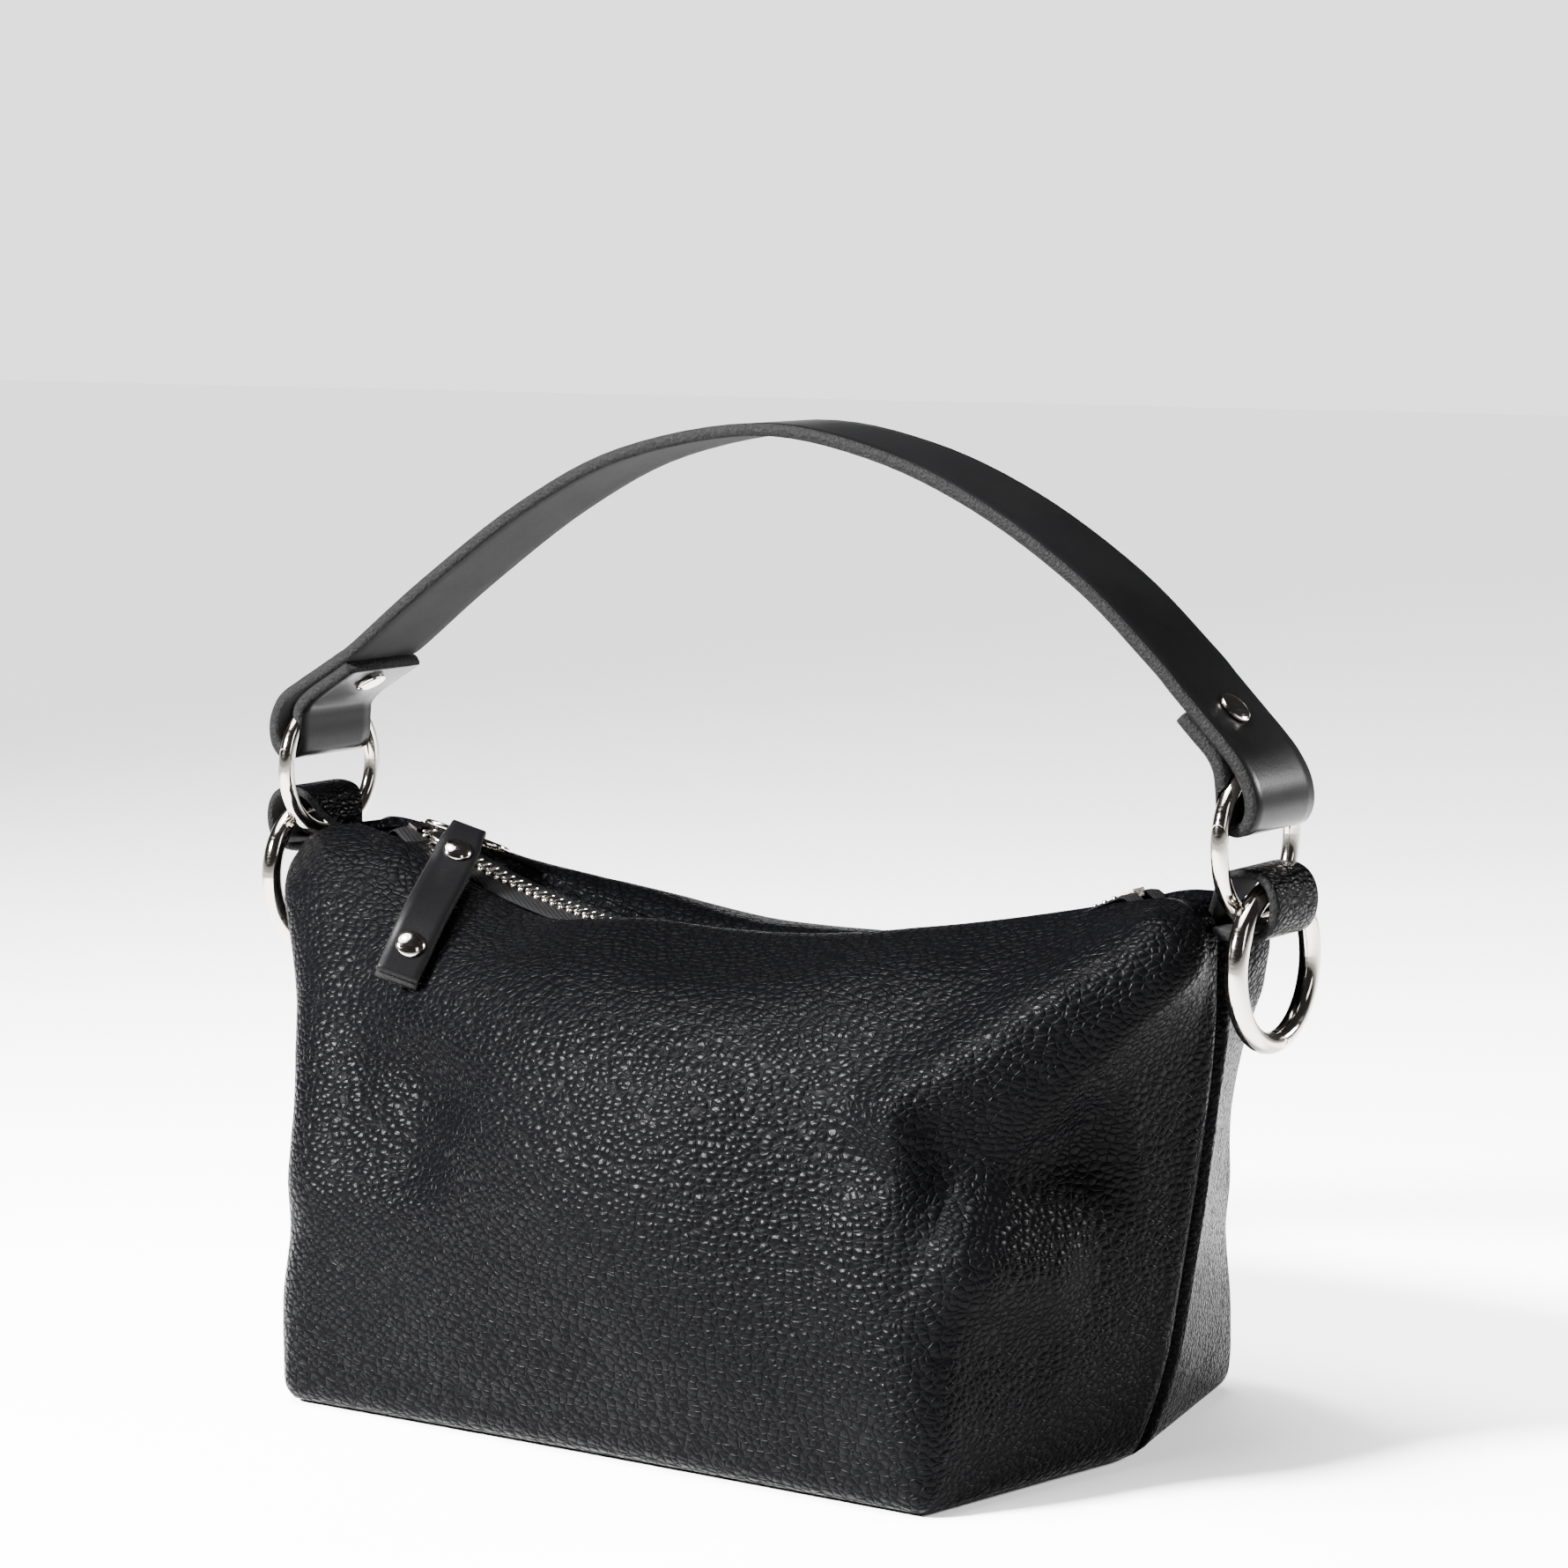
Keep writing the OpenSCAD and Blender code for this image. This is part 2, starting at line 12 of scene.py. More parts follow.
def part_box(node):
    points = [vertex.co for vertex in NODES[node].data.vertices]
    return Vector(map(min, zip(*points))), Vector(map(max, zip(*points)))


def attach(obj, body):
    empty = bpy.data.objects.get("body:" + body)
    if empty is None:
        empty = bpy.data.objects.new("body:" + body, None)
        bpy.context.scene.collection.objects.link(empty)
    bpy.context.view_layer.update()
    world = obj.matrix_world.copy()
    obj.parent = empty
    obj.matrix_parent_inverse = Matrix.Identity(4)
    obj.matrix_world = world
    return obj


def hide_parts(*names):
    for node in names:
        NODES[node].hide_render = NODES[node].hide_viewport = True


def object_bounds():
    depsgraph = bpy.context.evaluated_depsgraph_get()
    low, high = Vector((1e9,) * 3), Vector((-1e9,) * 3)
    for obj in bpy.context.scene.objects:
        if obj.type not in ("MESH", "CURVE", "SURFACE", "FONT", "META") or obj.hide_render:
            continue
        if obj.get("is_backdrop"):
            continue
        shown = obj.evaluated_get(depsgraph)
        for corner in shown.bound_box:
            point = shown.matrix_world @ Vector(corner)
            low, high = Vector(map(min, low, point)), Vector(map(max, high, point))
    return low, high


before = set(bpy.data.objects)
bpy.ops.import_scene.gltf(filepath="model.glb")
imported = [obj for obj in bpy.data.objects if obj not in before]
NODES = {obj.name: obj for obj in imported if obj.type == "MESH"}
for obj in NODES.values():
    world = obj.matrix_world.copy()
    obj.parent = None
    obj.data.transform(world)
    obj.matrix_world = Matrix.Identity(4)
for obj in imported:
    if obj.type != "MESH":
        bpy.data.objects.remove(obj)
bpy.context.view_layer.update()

MM = 0.001


# ---------------------------------------------------------------- small helpers

def box_mm(node):
    """Low and high corner of a CAD node"""
    low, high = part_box(node)
    return np.array(low) / MM, np.array(high) / MM


def smoothstep(a, b, x):
    t = np.clip((np.asarray(x, float) - a) / (b - a), 0, 1)
    return t * t * (3 - 2 * t)


def unit(v):
    """v, or each row of v, at length 1"""
    return v / np.linalg.norm(v, axis=-1, keepdims=True)


def make_mesh(name, points_mm, faces, materials, face_slots=None):
    mesh = bpy.data.meshes.new(name)
    mesh.from_pydata((np.asarray(points_mm, float) * MM).tolist(), [], [tuple(int(i) for i in f) for f in faces])
    mesh.validate()
    for m in materials:
        mesh.materials.append(m)
    if face_slots is not None:
        mesh.polygons.foreach_set("material_index", np.asarray(face_slots, np.int32))
    mesh.polygons.foreach_set("use_smooth", [True] * len(mesh.polygons))
    mesh.update()
    obj = bpy.data.objects.new(name, mesh)
    bpy.context.scene.collection.objects.link(obj)
    return obj


def place(obj, body, replaces=()):
    """Puts a piece on its body and the CAD nodes that it stands for"""
    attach(obj, body)
    if replaces:
        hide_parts(*replaces)


def outward(obj):
    """Turns all faces of a closed mesh outwards"""
    bm = bmesh.new()
    bm.from_mesh(obj.data)
    bmesh.ops.recalc_face_normals(bm, faces=bm.faces)
    bm.to_mesh(obj.data)
    bm.free()
    obj.data.update()


def thicken(obj, thickness, offset=-1):
    """Gives a skin its thickness; with offset -1 it grows inwards"""
    solid = obj.modifiers.new("thickness", "SOLIDIFY")
    solid.thickness = thickness * MM
    solid.offset = offset
    return solid


def grid_faces(rows, cols, wrap_cols=False, flip=False):
    """Quads over a grid of rows x cols points, written row by row"""
    faces = []
    span = cols if wrap_cols else cols - 1
    for i in range(rows - 1):
        for j in range(span):
            k = (j + 1) % cols
            f = (i * cols + j, i * cols + k, (i + 1) * cols + k, (i + 1) * cols + j)
            faces.append(f[::-1] if flip else f)
    return faces


def bspline(points, t):
    """Quadratic B-spline through the first and last of points; t is an array."""
    p = np.asarray(points, float)
    n = len(p) - 2
    a = np.clip(t, 0, 1) * n
    i = np.minimum(np.floor(a).astype(int), n - 1)
    f = (a - i)[..., None]
    mids = (p[:-1] + p[1:]) / 2
    start = np.where((i == 0)[..., None], p[0], mids[i])
    end = np.where((i == n - 1)[..., None], p[-1], mids[i + 1])
    return (1 - f) ** 2 * start + 2 * f * (1 - f) * p[i + 1] + f * f * end


def catmull(points, steps):
    """Catmull-Rom curve through points, with steps places on each span"""
    p = np.asarray(points, float)
    last = len(p) - 1
    out = []
    for i in range(last):
        a, b, c, d = p[max(i - 1, 0)], p[i], p[i + 1], p[min(i + 2, last)]
        for k in range(steps):
            f = k / steps
            out.append(b + (c - a) / 2 * f + (a * 2 - b * 5 + c * 4 - d) / 2 * f * f
                       + (b * 3 - a - c * 3 + d) / 2 * f ** 3)
    out.append(p[last])
    return np.array(out)


# ---------------------------------------------------------------- materials

class Nodes:
    """Builds a material's node tree with short calls."""

    def __init__(self, name):
        self.mat = bpy.data.materials.new(name)
        self.mat.use_nodes = True
        self.tree = self.mat.node_tree
        self.bsdf = self.tree.nodes["Principled BSDF"]

    def add(self, kind, **values):
        node = self.tree.nodes.new(kind)
        for key, value in values.items():
            setattr(node, key, value)
        return node

    def link(self, a, b):
        self.tree.links.new(a, b)

    def coords(self, scale=(1, 1, 1)):
        """Object coordinates in metres, stretched by scale"""
        tex = self.add("ShaderNodeTexCoord")
        mapping = self.add("ShaderNodeMapping")
        mapping.inputs["Scale"].default_value = scale
        self.link(tex.outputs["Object"], mapping.inputs["Vector"])
        return mapping.outputs["Vector"]

    def noise_node(self, vector, scale, detail, rough):
        n = self.add("ShaderNodeTexNoise")
        n.inputs["Scale"].default_value = scale
        n.inputs["Detail"].default_value = detail
        n.inputs["Roughness"].default_value = rough
        self.link(vector, n.inputs["Vector"])
        return n

    def noise(self, vector, scale, detail=3.0, rough=0.5):
        return self.noise_node(vector, scale, detail, rough).outputs["Fac"]

    def warp(self, vector, scale, amount):
        """vector pushed about by noise"""
        noise = self.noise_node(vector, scale, 2.0, 0.5)
        centre = self.add("ShaderNodeVectorMath", operation="SUBTRACT")
        self.link(noise.outputs["Color"], centre.inputs[0])
        centre.inputs[1].default_value = (0.5, 0.5, 0.5)
        size = self.add("ShaderNodeVectorMath", operation="SCALE")
        self.link(centre.outputs[0], size.inputs[0])
        size.inputs["Scale"].default_value = amount
        total = self.add("ShaderNodeVectorMath", operation="ADD")
        self.link(vector, total.inputs[0])
        self.link(size.outputs[0], total.inputs[1])
        return total.outputs[0]

    def voronoi(self, vector, scale, feature="F1", randomness=1.0, smooth=None):
        v = self.add("ShaderNodeTexVoronoi", feature=feature)
        v.inputs["Scale"].default_value = scale
        v.inputs["Randomness"].default_value = randomness
        if smooth is not None:
            v.inputs["Smoothness"].default_value = smooth
        self.link(vector, v.inputs["Vector"])
        return v.outputs["Distance"]

    def remap(self, value, a, b, to0=0.0, to1=1.0):
        """Smooth step from to0 where value is a to to1 where it is b"""
        m = self.add("ShaderNodeMapRange", interpolation_type="SMOOTHSTEP")
        m.inputs["From Min"].default_value = a
        m.inputs["From Max"].default_value = b
        m.inputs["To Min"].default_value = to0
        m.inputs["To Max"].default_value = to1
        self.link(value, m.inputs["Value"])
        return m.outputs["Result"]

    def math(self, op, a, b):
        m = self.add("ShaderNodeMath", operation=op)
        for k, v in enumerate((a, b)):
            if isinstance(v, (int, float)):
                m.inputs[k].default_value = v
            else:
                self.link(v, m.inputs[k])
        return m.outputs[0]

    def weighted(self, *terms):
        """Sum of (value, weight) pairs"""
        total = self.math("MULTIPLY", *terms[0])
        for value, weight in terms[1:]:
            total = self.math("ADD", total, self.math("MULTIPLY", value, weight))
        return total

    def mix(self, factor, a, b):
        m = self.add("ShaderNodeMix", data_type="RGBA")
        self.link(factor, m.inputs["Factor"])
        m.inputs["A"].default_value = (*a, 1)
        m.inputs["B"].default_value = (*b, 1)
        return m.outputs["Result"]

    def wave(self, vector, scale, direction, distortion=0.0):
        w = self.add("ShaderNodeTexWave", wave_type="BANDS", bands_direction=direction)
        w.inputs["Scale"].default_value = scale
        w.inputs["Distortion"].default_value = distortion
        self.link(vector, w.inputs["Vector"])
        return w.outputs["Fac"]

    def bump(self, height, distance, strength=1.0):
        b = self.add("ShaderNodeBump")
        b.inputs["Distance"].default_value = distance
        b.inputs["Strength"].default_value = strength
        self.link(height, b.inputs["Height"])
        return b.outputs["Normal"]

    def set(self, **values):
        """Sets or links the shader's sockets by name, and returns the material"""
        for key, value in values.items():
            socket = self.bsdf.inputs[key.replace("_", " ")]
            if isinstance(value, (int, float, tuple)):
                socket.default_value = value
            else:
                self.link(value, socket)
        return self.mat


def pebbled_leather(name, cell=1.9, relief=0.00032, stretch=(0.8, 1, 1.2), gloss=0.014):
    """Floater grain: rounded cells with thin creases between them, glossier on top of each cell. cell is the size
    of a pebble in millimetres, relief the bump's depth in metres."""
    n = Nodes(name)
    at = n.coords(stretch)
    bent = n.warp(at, 140, 0.0012)
    scale = 1000 / cell
    crease = n.remap(n.voronoi(bent, scale, "DISTANCE_TO_EDGE", 0.88), 0.0, 0.16)
    crown = n.remap(n.voronoi(bent, scale, "SMOOTH_F1", 0.88, 0.3), 0.05, 0.8, 1.0, 0.0)
    fine_crease = n.remap(n.voronoi(n.warp(at, 500, 0.0006), scale * 2.4, "DISTANCE_TO_EDGE"), 0.0, 0.22)
    pores = n.noise(at, 2600, 3.0, 0.6)
    height = n.weighted((crease, 0.4), (crown, 0.75), (fine_crease, 0.05), (pores, 0.03))
    worn = n.noise(at, 22)
    # colour darker in the creases between the cells: painted shade there; the worn noise adds random tone over it
    colour = n.mix(n.math("MULTIPLY", crease, worn), (0.0003, 0.0003, 0.0004), (0.0012, 0.0012, 0.0014))
    patches = n.math("MULTIPLY", n.math("SUBTRACT", worn, 0.5), 0.12)
    rough = n.math("ADD", n.remap(crease, 0, 1, 0.5, 0.27), patches)
    return n.set(Base_Color=colour, Roughness=rough, Normal=n.bump(height, relief), Specular_IOR_Level=gloss)


def smooth_leather(name):
    """Polished outer face of the strap and the pull"""
    n = Nodes(name)
    at = n.coords()
    worn = n.noise(at, 30, 4.0)
    pores = n.voronoi(n.warp(at, 300, 0.001), 1500, "F1")
    height = n.math("ADD", n.math("MULTIPLY", pores, 0.4), n.noise(at, 900, 4.0, 0.6))
    colour = n.mix(worn, (0.0012, 0.0012, 0.0013), (0.0028, 0.0028, 0.003))
    rough = n.remap(worn, 0.3, 0.7, 0.27, 0.36)
    return n.set(Base_Color=colour, Roughness=rough, Normal=n.bump(height, 0.00006, 0.5), Specular_IOR_Level=0.05)


def flesh_side(name):
    """Matt fibrous back of the strap leather"""
    n = Nodes(name)
    at = n.coords()
    fibre = n.noise(n.warp(at, 200, 0.004), 1100, 6.0, 0.75)
    blotch = n.noise(at, 60, 4.0)
    colour = n.mix(n.math("MULTIPLY", fibre, blotch), (0.002, 0.002, 0.0022), (0.02, 0.0195, 0.019))
    return n.set(Base_Color=colour, Roughness=0.85, Normal=n.bump(fibre, 0.00025, 0.8), Specular_IOR_Level=0.04)


def raw_edge(name):
    """Cut edge of thick leather: dark, with coarse fibres whose glints are painted into the colour as lighter specks"""
    n = Nodes(name)
    at = n.coords()
    grain = n.voronoi(n.warp(at, 500, 0.0008), 1300, "F1")
    speck = n.noise(at, 1500, 5.0, 0.8)
    height = n.math("ADD", grain, speck)
    # lighter specks in the colour: painted glints on the fibres
    colour = n.mix(n.remap(speck, 0.45, 0.8), (0.001, 0.001, 0.0011), (0.008, 0.0077, 0.0075))
    return n.set(Base_Color=colour, Roughness=0.6, Normal=n.bump(height, 0.0003, 0.9), Specular_IOR_Level=0.06)


def nickel(name, tint=(0.46, 0.43, 0.385), rough=0.09):
    """Polished nickel plate with faint handling marks"""
    n = Nodes(name)
    marks = n.noise(n.coords((1, 1, 6)), 420, 5.0, 0.7)
    cloud = n.noise(n.coords(), 70)
    colour = n.mix(cloud, tuple(c * 0.9 for c in tint), tint)
    roughness = n.remap(marks, 0.35, 0.75, rough * 0.6, rough * 1.8)
    return n.set(Base_Color=colour, Metallic=1.0, Roughness=roughness, Normal=n.bump(marks, 0.00002, 0.35))


def woven_tape(name):
    """Fine twill of the zip tape"""
    n = Nodes(name)
    at = n.coords()
    rib = n.wave(at, 420, "DIAGONAL", 0.6)
    height = n.math("MULTIPLY", rib, n.remap(n.wave(at, 650, "X"), 0, 1, 0.6, 1.0))
    # colour follows the weave's height, darker in its hollows: painted shade between the threads
    colour = n.mix(height, (0.0006, 0.0006, 0.0007), (0.003, 0.003, 0.0033))
    return n.set(Base_Color=colour, Roughness=0.82, Normal=n.bump(height, 0.00018, 0.8), Specular_IOR_Level=0.05)


def cardboard(name):
    """Board inside the base"""
    n = Nodes(name)
    fibre = n.noise(n.coords((1, 4, 1)), 500, 5.0, 0.7)
    colour = n.mix(fibre, (0.09, 0.07, 0.045), (0.17, 0.13, 0.09))
    return n.set(Base_Color=colour, Roughness=0.9, Normal=n.bump(fibre, 0.0001, 0.6))


LEATHER = pebbled_leather("pebbled_leather")
BACK_LEATHER = pebbled_leather("pebbled_leather_back", gloss=0.006)
TAB_LEATHER = pebbled_leather("tab_leather", cell=1.7, relief=0.00028, stretch=(1.3, 0.7, 1.3))
STRAP_OUT = smooth_leather("smooth_leather")
STRAP_IN = flesh_side("flesh_side")
EDGE = raw_edge("raw_edge")
NICKEL = nickel("nickel")
TOOTH = nickel("tooth_metal", (0.40, 0.38, 0.345), 0.16)
TAPE = woven_tape("woven_tape")
BOARD = cardboard("cardboard")


# ---------------------------------------------------------------- body of the bag

HALF_TOP = box_mm("front_panel")[1][0] - 2    # half length of the bag's top
HALF_BASE = HALF_TOP - 20
DEPTH = 69.0                                  # half depth of the base
PANEL_T = 1.8                                 # leather of the panels and the base
CAP_T = 1.4                                   # leather past the zip's ends
# The same rows as the CAD panel's: middle [y, z], shoulder [x, y, z], seam [x, z], rounding towards seam and middle
ROWS = [
    [[-DEPTH, 0], [HALF_BASE - 14, -DEPTH - 1, 0], [HALF_BASE, 0], [0.12, 0.1]],
    [[-DEPTH - 4, 18], [HALF_BASE - 12, -DEPTH - 2, 16], [HALF_BASE + 8, 18], [0.2, 0.2]],
    [[-DEPTH - 5, 46], [HALF_BASE - 12, -DEPTH + 4, 48], [HALF_TOP - 7, 45], [0.32, 0.3]],
    [[-DEPTH - 1, 74], [HALF_BASE - 6, -DEPTH + 14, 78], [HALF_TOP - 2, 75], [0.42, 0.4]],
    [[-60, 99], [116, -38, 104], [HALF_TOP + 1, 100], [0.42, 0.45]],
    [[-38, 112], [130, -25, 123], [HALF_TOP, 118], [0.45, 0.45]],
    [[-16, 115.5], [126, -13, 134], [HALF_TOP, 128], [0.45, 0.45]],
    [[-9.5, 107], [114, -9.5, 133], [HALF_TOP - 1, 131.5], [0.4, 0.45]],
]


def row_points(r, side):
    """Five control points of a row, from the middle of the panel to the seam on one side"""
    middle = np.array([0, r[0][0], r[0][1]], float)
    shoulder = np.array([side * r[1][0], r[1][1], r[1][2]], float)
    seam = np.array([side * r[2][0], 0, r[2][1]], float)
    return [middle, shoulder + (middle - shoulder) * r[3][1], shoulder, shoulder + (seam - shoulder) * r[3][0], seam]


def panel_surface(u, v):
    """Points of the plain panel for arrays u (along the bag) and v (up), shape (len(v), len(u), 3)"""
    rows = []
    for r in ROWS:
        left, right = row_points(r, -1), row_points(r, 1)
        rows.append(bspline(left[::-1] + right[1:], u))
    rows = np.array(rows)
    return np.array([bspline(rows[:, j], v) for j in range(len(u))]).transpose(1, 0, 2)


def to_line(points, line):
    """Distance of each point to a polyline, and its place along it from 0 to 1"""
    line = np.asarray(line, float)
    lengths = np.linalg.norm(line[1:] - line[:-1], axis=1)
    total = lengths.sum()
    best = np.full(points.shape[:-1], 1e9)
    along = np.zeros(points.shape[:-1])
    run = 0.0
    for k in range(len(line) - 1):
        a, d = line[k], line[k + 1] - line[k]
        t = np.clip(((points - a) @ d) / (d @ d), 0, 1)
        gap = np.linalg.norm(points - (a + t[..., None] * d), axis=-1)
        near = gap < best
        best = np.where(near, gap, best)
        along = np.where(near, (run + t * lengths[k]) / total, along)
        run += lengths[k]
    return best, along


def fold(points, line, width, height, fade=0.25):
    """A soft ridge, or a dent where height is negative, along a line; it fades towards both ends"""
    gap, along = to_line(points, line)
    ends = smoothstep(0, fade, along) * smoothstep(0, fade, 1 - along) if fade else 1.0
    return height * np.exp(-(gap / width) ** 2) * ends


def value_noise(points, size, seed):
    """Smooth repeatable noise from -1 to 1 on a grid of the given cell size"""
    p = points / size
    cell = np.floor(p).astype(np.int64)
    f = p - cell
    f = f * f * (3 - 2 * f)
    total = np.zeros(points.shape[:-1])
    for dx in (0, 1):
        for dy in (0, 1):
            for dz in (0, 1):
                h = ((cell[..., 0] + dx) * 73856093 ^ (cell[..., 1] + dy) * 19349663
                     ^ (cell[..., 2] + dz) * 83492791 ^ seed * 2654435) & 0xFFFFFF
                h = (h * 1103515245 + 12345) & 0x7FFFFFFF
                r = ((h >> 8) & 0xFFFF) / 32767.5 - 1
                w = ((f[..., 0] if dx else 1 - f[..., 0]) * (f[..., 1] if dy else 1 - f[..., 1])
                     * (f[..., 2] if dz else 1 - f[..., 2]))
                total += r * w
    return total


ZIP_LOW = 108.0                 # lowest point of the sagging chain
ZIP_R = 240.0                   # radius of its arc
ZIP_C = ZIP_LOW + ZIP_R         # height of the arc's centre
SLIDER_X = -93.0
PITCH = 2.5                     # from tooth to tooth
CHAIN = 102.3                   # half length of the rows of teeth
TAPE_END = 108.0                # half length of the tapes


def on_zip(x, y, h):
    """Point at x along the zip, y across it and h above the middle of its chain"""
    a = math.asin(x / ZIP_R)
    return np.array([(ZIP_R - h) * math.sin(a), y, ZIP_C - (ZIP_R - h) * math.cos(a)])


def zip_frame(x):
    """Middle of the chain at x, and the directions along it and up from it"""
    a = math.asin(x / ZIP_R)
    along = np.array([math.cos(a), 0, math.sin(a)])
    up = np.array([-math.sin(a), 0, math.cos(a)])
    return on_zip(x, 0, 0), along, up


def zip_height(x):
    return ZIP_C - np.sqrt(ZIP_R ** 2 - np.minimum(np.abs(x), 200) ** 2)


# Folds of the two panels: line of the fold, its width, its height (below 0 it is a dent), its fade at the ends
FRONT_FOLDS = [
    ([[125, -8, 129], [120, -24, 120], [104, -36, 109], [88, -47, 96], [76, -55, 84], [70, -60, 74]], 12, 6.0, 0.14),
    ([[70, -59, 80], [74, -63, 62], [80, -67, 38], [88, -70, 6]], 13, 2.2, 0.25),
    ([[76, -57, 74], [86, -54, 76], [100, -48, 74], [110, -36, 74], [117, -20, 80]], 13, -6.8, 0.2),
    ([[82, -62, 58], [94, -57, 56], [106, -44, 52], [114, -26, 48]], 12, 4.6, 0.3),
    ([[88, -62, 36], [100, -52, 32], [110, -34, 28]], 12, -1.6, 0.3),
    ([[-50, -55, 92], [-56, -60, 74], [-58, -66, 50]], 15, -5.0, 0.35),
    ([[-124, -12, 127], [-112, -28, 114], [-102, -42, 96], [-94, -56, 70], [-88, -66, 40]], 10, 2.2, 0.15),
    ([[-84, -48, 96], [-78, -58, 74], [-76, -64, 50]], 9, -1.6, 0.3),
    ([[-20, -68, 70], [20, -68, 66]], 42, 2.6, 0.0),
    ([[-70, -34, 114], [-30, -36, 112], [10, -36, 111], [50, -34, 114]], 9, -1.2, 0.2),
]
BACK_FOLDS = [
    ([[-124, -10, 128], [-108, -32, 112], [-92, -45, 97], [-78, -54, 84], [-72, -60, 72]], 9, 3.2, 0.12),
    ([[-76, -60, 72], [-90, -54, 72], [-104, -44, 72], [-112, -32, 76]], 10, -4.2, 0.2),
    ([[-84, -63, 56], [-98, -56, 52], [-108, -38, 46]], 8, 2.2, 0.3),
    ([[120, -22, 120], [106, -38, 104], [94, -52, 80], [88, -64, 46]], 10, 2.4, 0.15),
    ([[56, -58, 88], [60, -62, 66], [58, -66, 44]], 12, -2.2, 0.3),
    ([[-20, -68, 70], [20, -68, 66]], 42, 2.2, 0.0),
]
SEAM_TUCK = 2.6     # depth of the roll beside the end seams
HEM = 6.0           # radius of the lower edge
TURN_ROWS = 6       # rows of the turned-in leather past the top edge


def fan_creases(base, seed):
    """Fine creases that fan out from the upper corners"""
    lift = 0
    for side in (-1, 1):
        away = base - np.array([side * HALF_TOP, 0, 130])
        reach = np.linalg.norm(away, axis=-1)
        angle = np.arctan2(away[..., 2], -side * away[..., 0] - away[..., 1] * 0.6)
        lift += np.cos(angle * 13 + 0.7 * side + seed) * smoothstep(4, 14, reach) * np.exp(-reach / 26)
    return 0.35 * lift


def panel_lift(base, v, folds, seed):
    """Height of the folds, creases and unevenness over the plain panel, calm at its edges and seams"""
    calm = smoothstep(0, 14, base[..., 2]) * smoothstep(0, 0.12, 1 - v)[:, None]
    calm *= smoothstep(0, 8, np.abs(base[..., 1]))
    stretched = base * np.array([0.8, 1, 1.25])
    lift = sum(fold(base, *row) for row in folds)
    lift += 0.9 * value_noise(stretched, 38, seed) + 0.3 * value_noise(stretched, 17, seed + 1)
    lift += 0.06 * value_noise(base, 6.5, seed + 2) + fan_creases(base, seed)
    return lift * calm


def seam_tuck(base, v):
    """How far the edges at the end seams roll in towards each other"""
    y = np.abs(base[..., 1])
    tuck = SEAM_TUCK * np.exp(-(y / 1.5) ** 2) - 0.7 * np.exp(-((y - 4.2) / 2.2) ** 2)
    near_end = smoothstep(0.75, 0.95, np.abs(base[..., 0]) / HALF_TOP)
    return tuck * near_end * smoothstep(0, 3, base[..., 2]) * smoothstep(0, 0.04, 1 - v)[:, None]


def hem_depth(z):
    """How far the lower edge is rounded in at height z"""
    return np.where(z < HEM, HEM - np.sqrt(np.maximum(HEM ** 2 - (HEM - z) ** 2, 0)), 0) * 0.8


def settle_top(points, x, v, open_end, drop):
    """Lowers the top edge where the zip shows beside the slider, and folds it over the zip in the middle"""
    up = smoothstep(0.58, 0.86, v)[:, None]
    middle = smoothstep(-58, -10, x) * smoothstep(0, 30, 112 - x)
    open_part = smoothstep(-105, -88, x) * (1 - smoothstep(-62, -18, x)) * open_end
    crest = np.interp(x, x[-14], points[-14, :, 2])
    points[..., 2] += open_part * up * np.minimum(zip_height(x) + 0.2 - crest, 0)
    points[..., 2] -= middle * up * drop
    points[..., 1] *= 1 - 0.36 * middle * smoothstep(0.7, 0.92, v)[:, None]
    points[..., 1] = np.minimum(points[..., 1], -0.12)


def turned_in(last, tape_gap):
    """Rows of leather from the top edge to the zip's tape, or under the other panel's edge past the tape"""
    by_tape = 1 - smoothstep(101, 106, np.abs(last[:, 0]))[:, None]
    goal = np.stack([last[:, 0], -np.minimum(tape_gap, np.abs(last[:, 1]) - 0.1),
                     np.minimum(zip_height(last[:, 0]) + 0.5, last[:, 2])], axis=1)
    past = np.stack([last[:, 0], last[:, 1] * 0.75, last[:, 2] - 2.2], axis=1)
    goal = goal * by_tape + past * (1 - by_tape)
    rows = []
    for t in np.arange(1, TURN_ROWS + 1) / TURN_ROWS:
        row = last * (1 - t) + goal * t
        row[:, 1] -= 0.9 * math.sin(math.pi * t) * by_tape[:, 0]
        rows.append(row)
    return rows


def shaped_panel(folds, seed, nu, nv, open_end, drop, tape_gap):
    """Outer skin of a front panel with its folds, its tucked end seams and its rounded lower edge"""
    u = np.linspace(0, 1, nu)
    # more columns near the two ends, where the seams are
    u = u - 0.09 * np.sin(2 * np.pi * u) / (2 * np.pi)
    v = np.linspace(0, 1, nv)
    base = panel_surface(u, v)
    normal = np.cross(np.gradient(base, axis=1), np.gradient(base, axis=0))
    normal /= np.linalg.norm(normal, axis=-1, keepdims=True) + 1e-12
    points = base + normal * panel_lift(base, v, folds, seed)[..., None]
    points[..., 0] -= np.sign(base[..., 0]) * seam_tuck(base, v)
    points -= np.array([1, 1, 0]) * normal * hem_depth(base[..., 2])[..., None]
    settle_top(points, base[..., 0], v, open_end, drop)
    return np.concatenate([points, turned_in(points[-1], tape_gap)])


def build_panel(name, folds, seed, back, open_end, drop, tape_gap):
    """One panel's leather, and the grid of points of its outer skin"""
    nu, nv = ((300, 190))
    grid = shaped_panel(folds, seed, nu, nv, open_end, drop, tape_gap)
    if back:
        grid = grid * np.array([1, -1, 1])
    obj = make_mesh(name, grid.reshape(-1, 3), grid_faces(len(grid), nu, flip=back),
                    [BACK_LEATHER if back else LEATHER, EDGE])
    thicken(obj, PANEL_T).material_offset_rim = 0
    return obj, grid


front, FRONT = build_panel("front_leather", FRONT_FOLDS, 3, False, 1.0, 0.0, 3.6)
back, BACK = build_panel("back_leather", BACK_FOLDS, 11, True, 0.3, 3.0, 7.0)
place(front, "bag", ["front_panel"])
place(back, "bag", ["back_panel"])

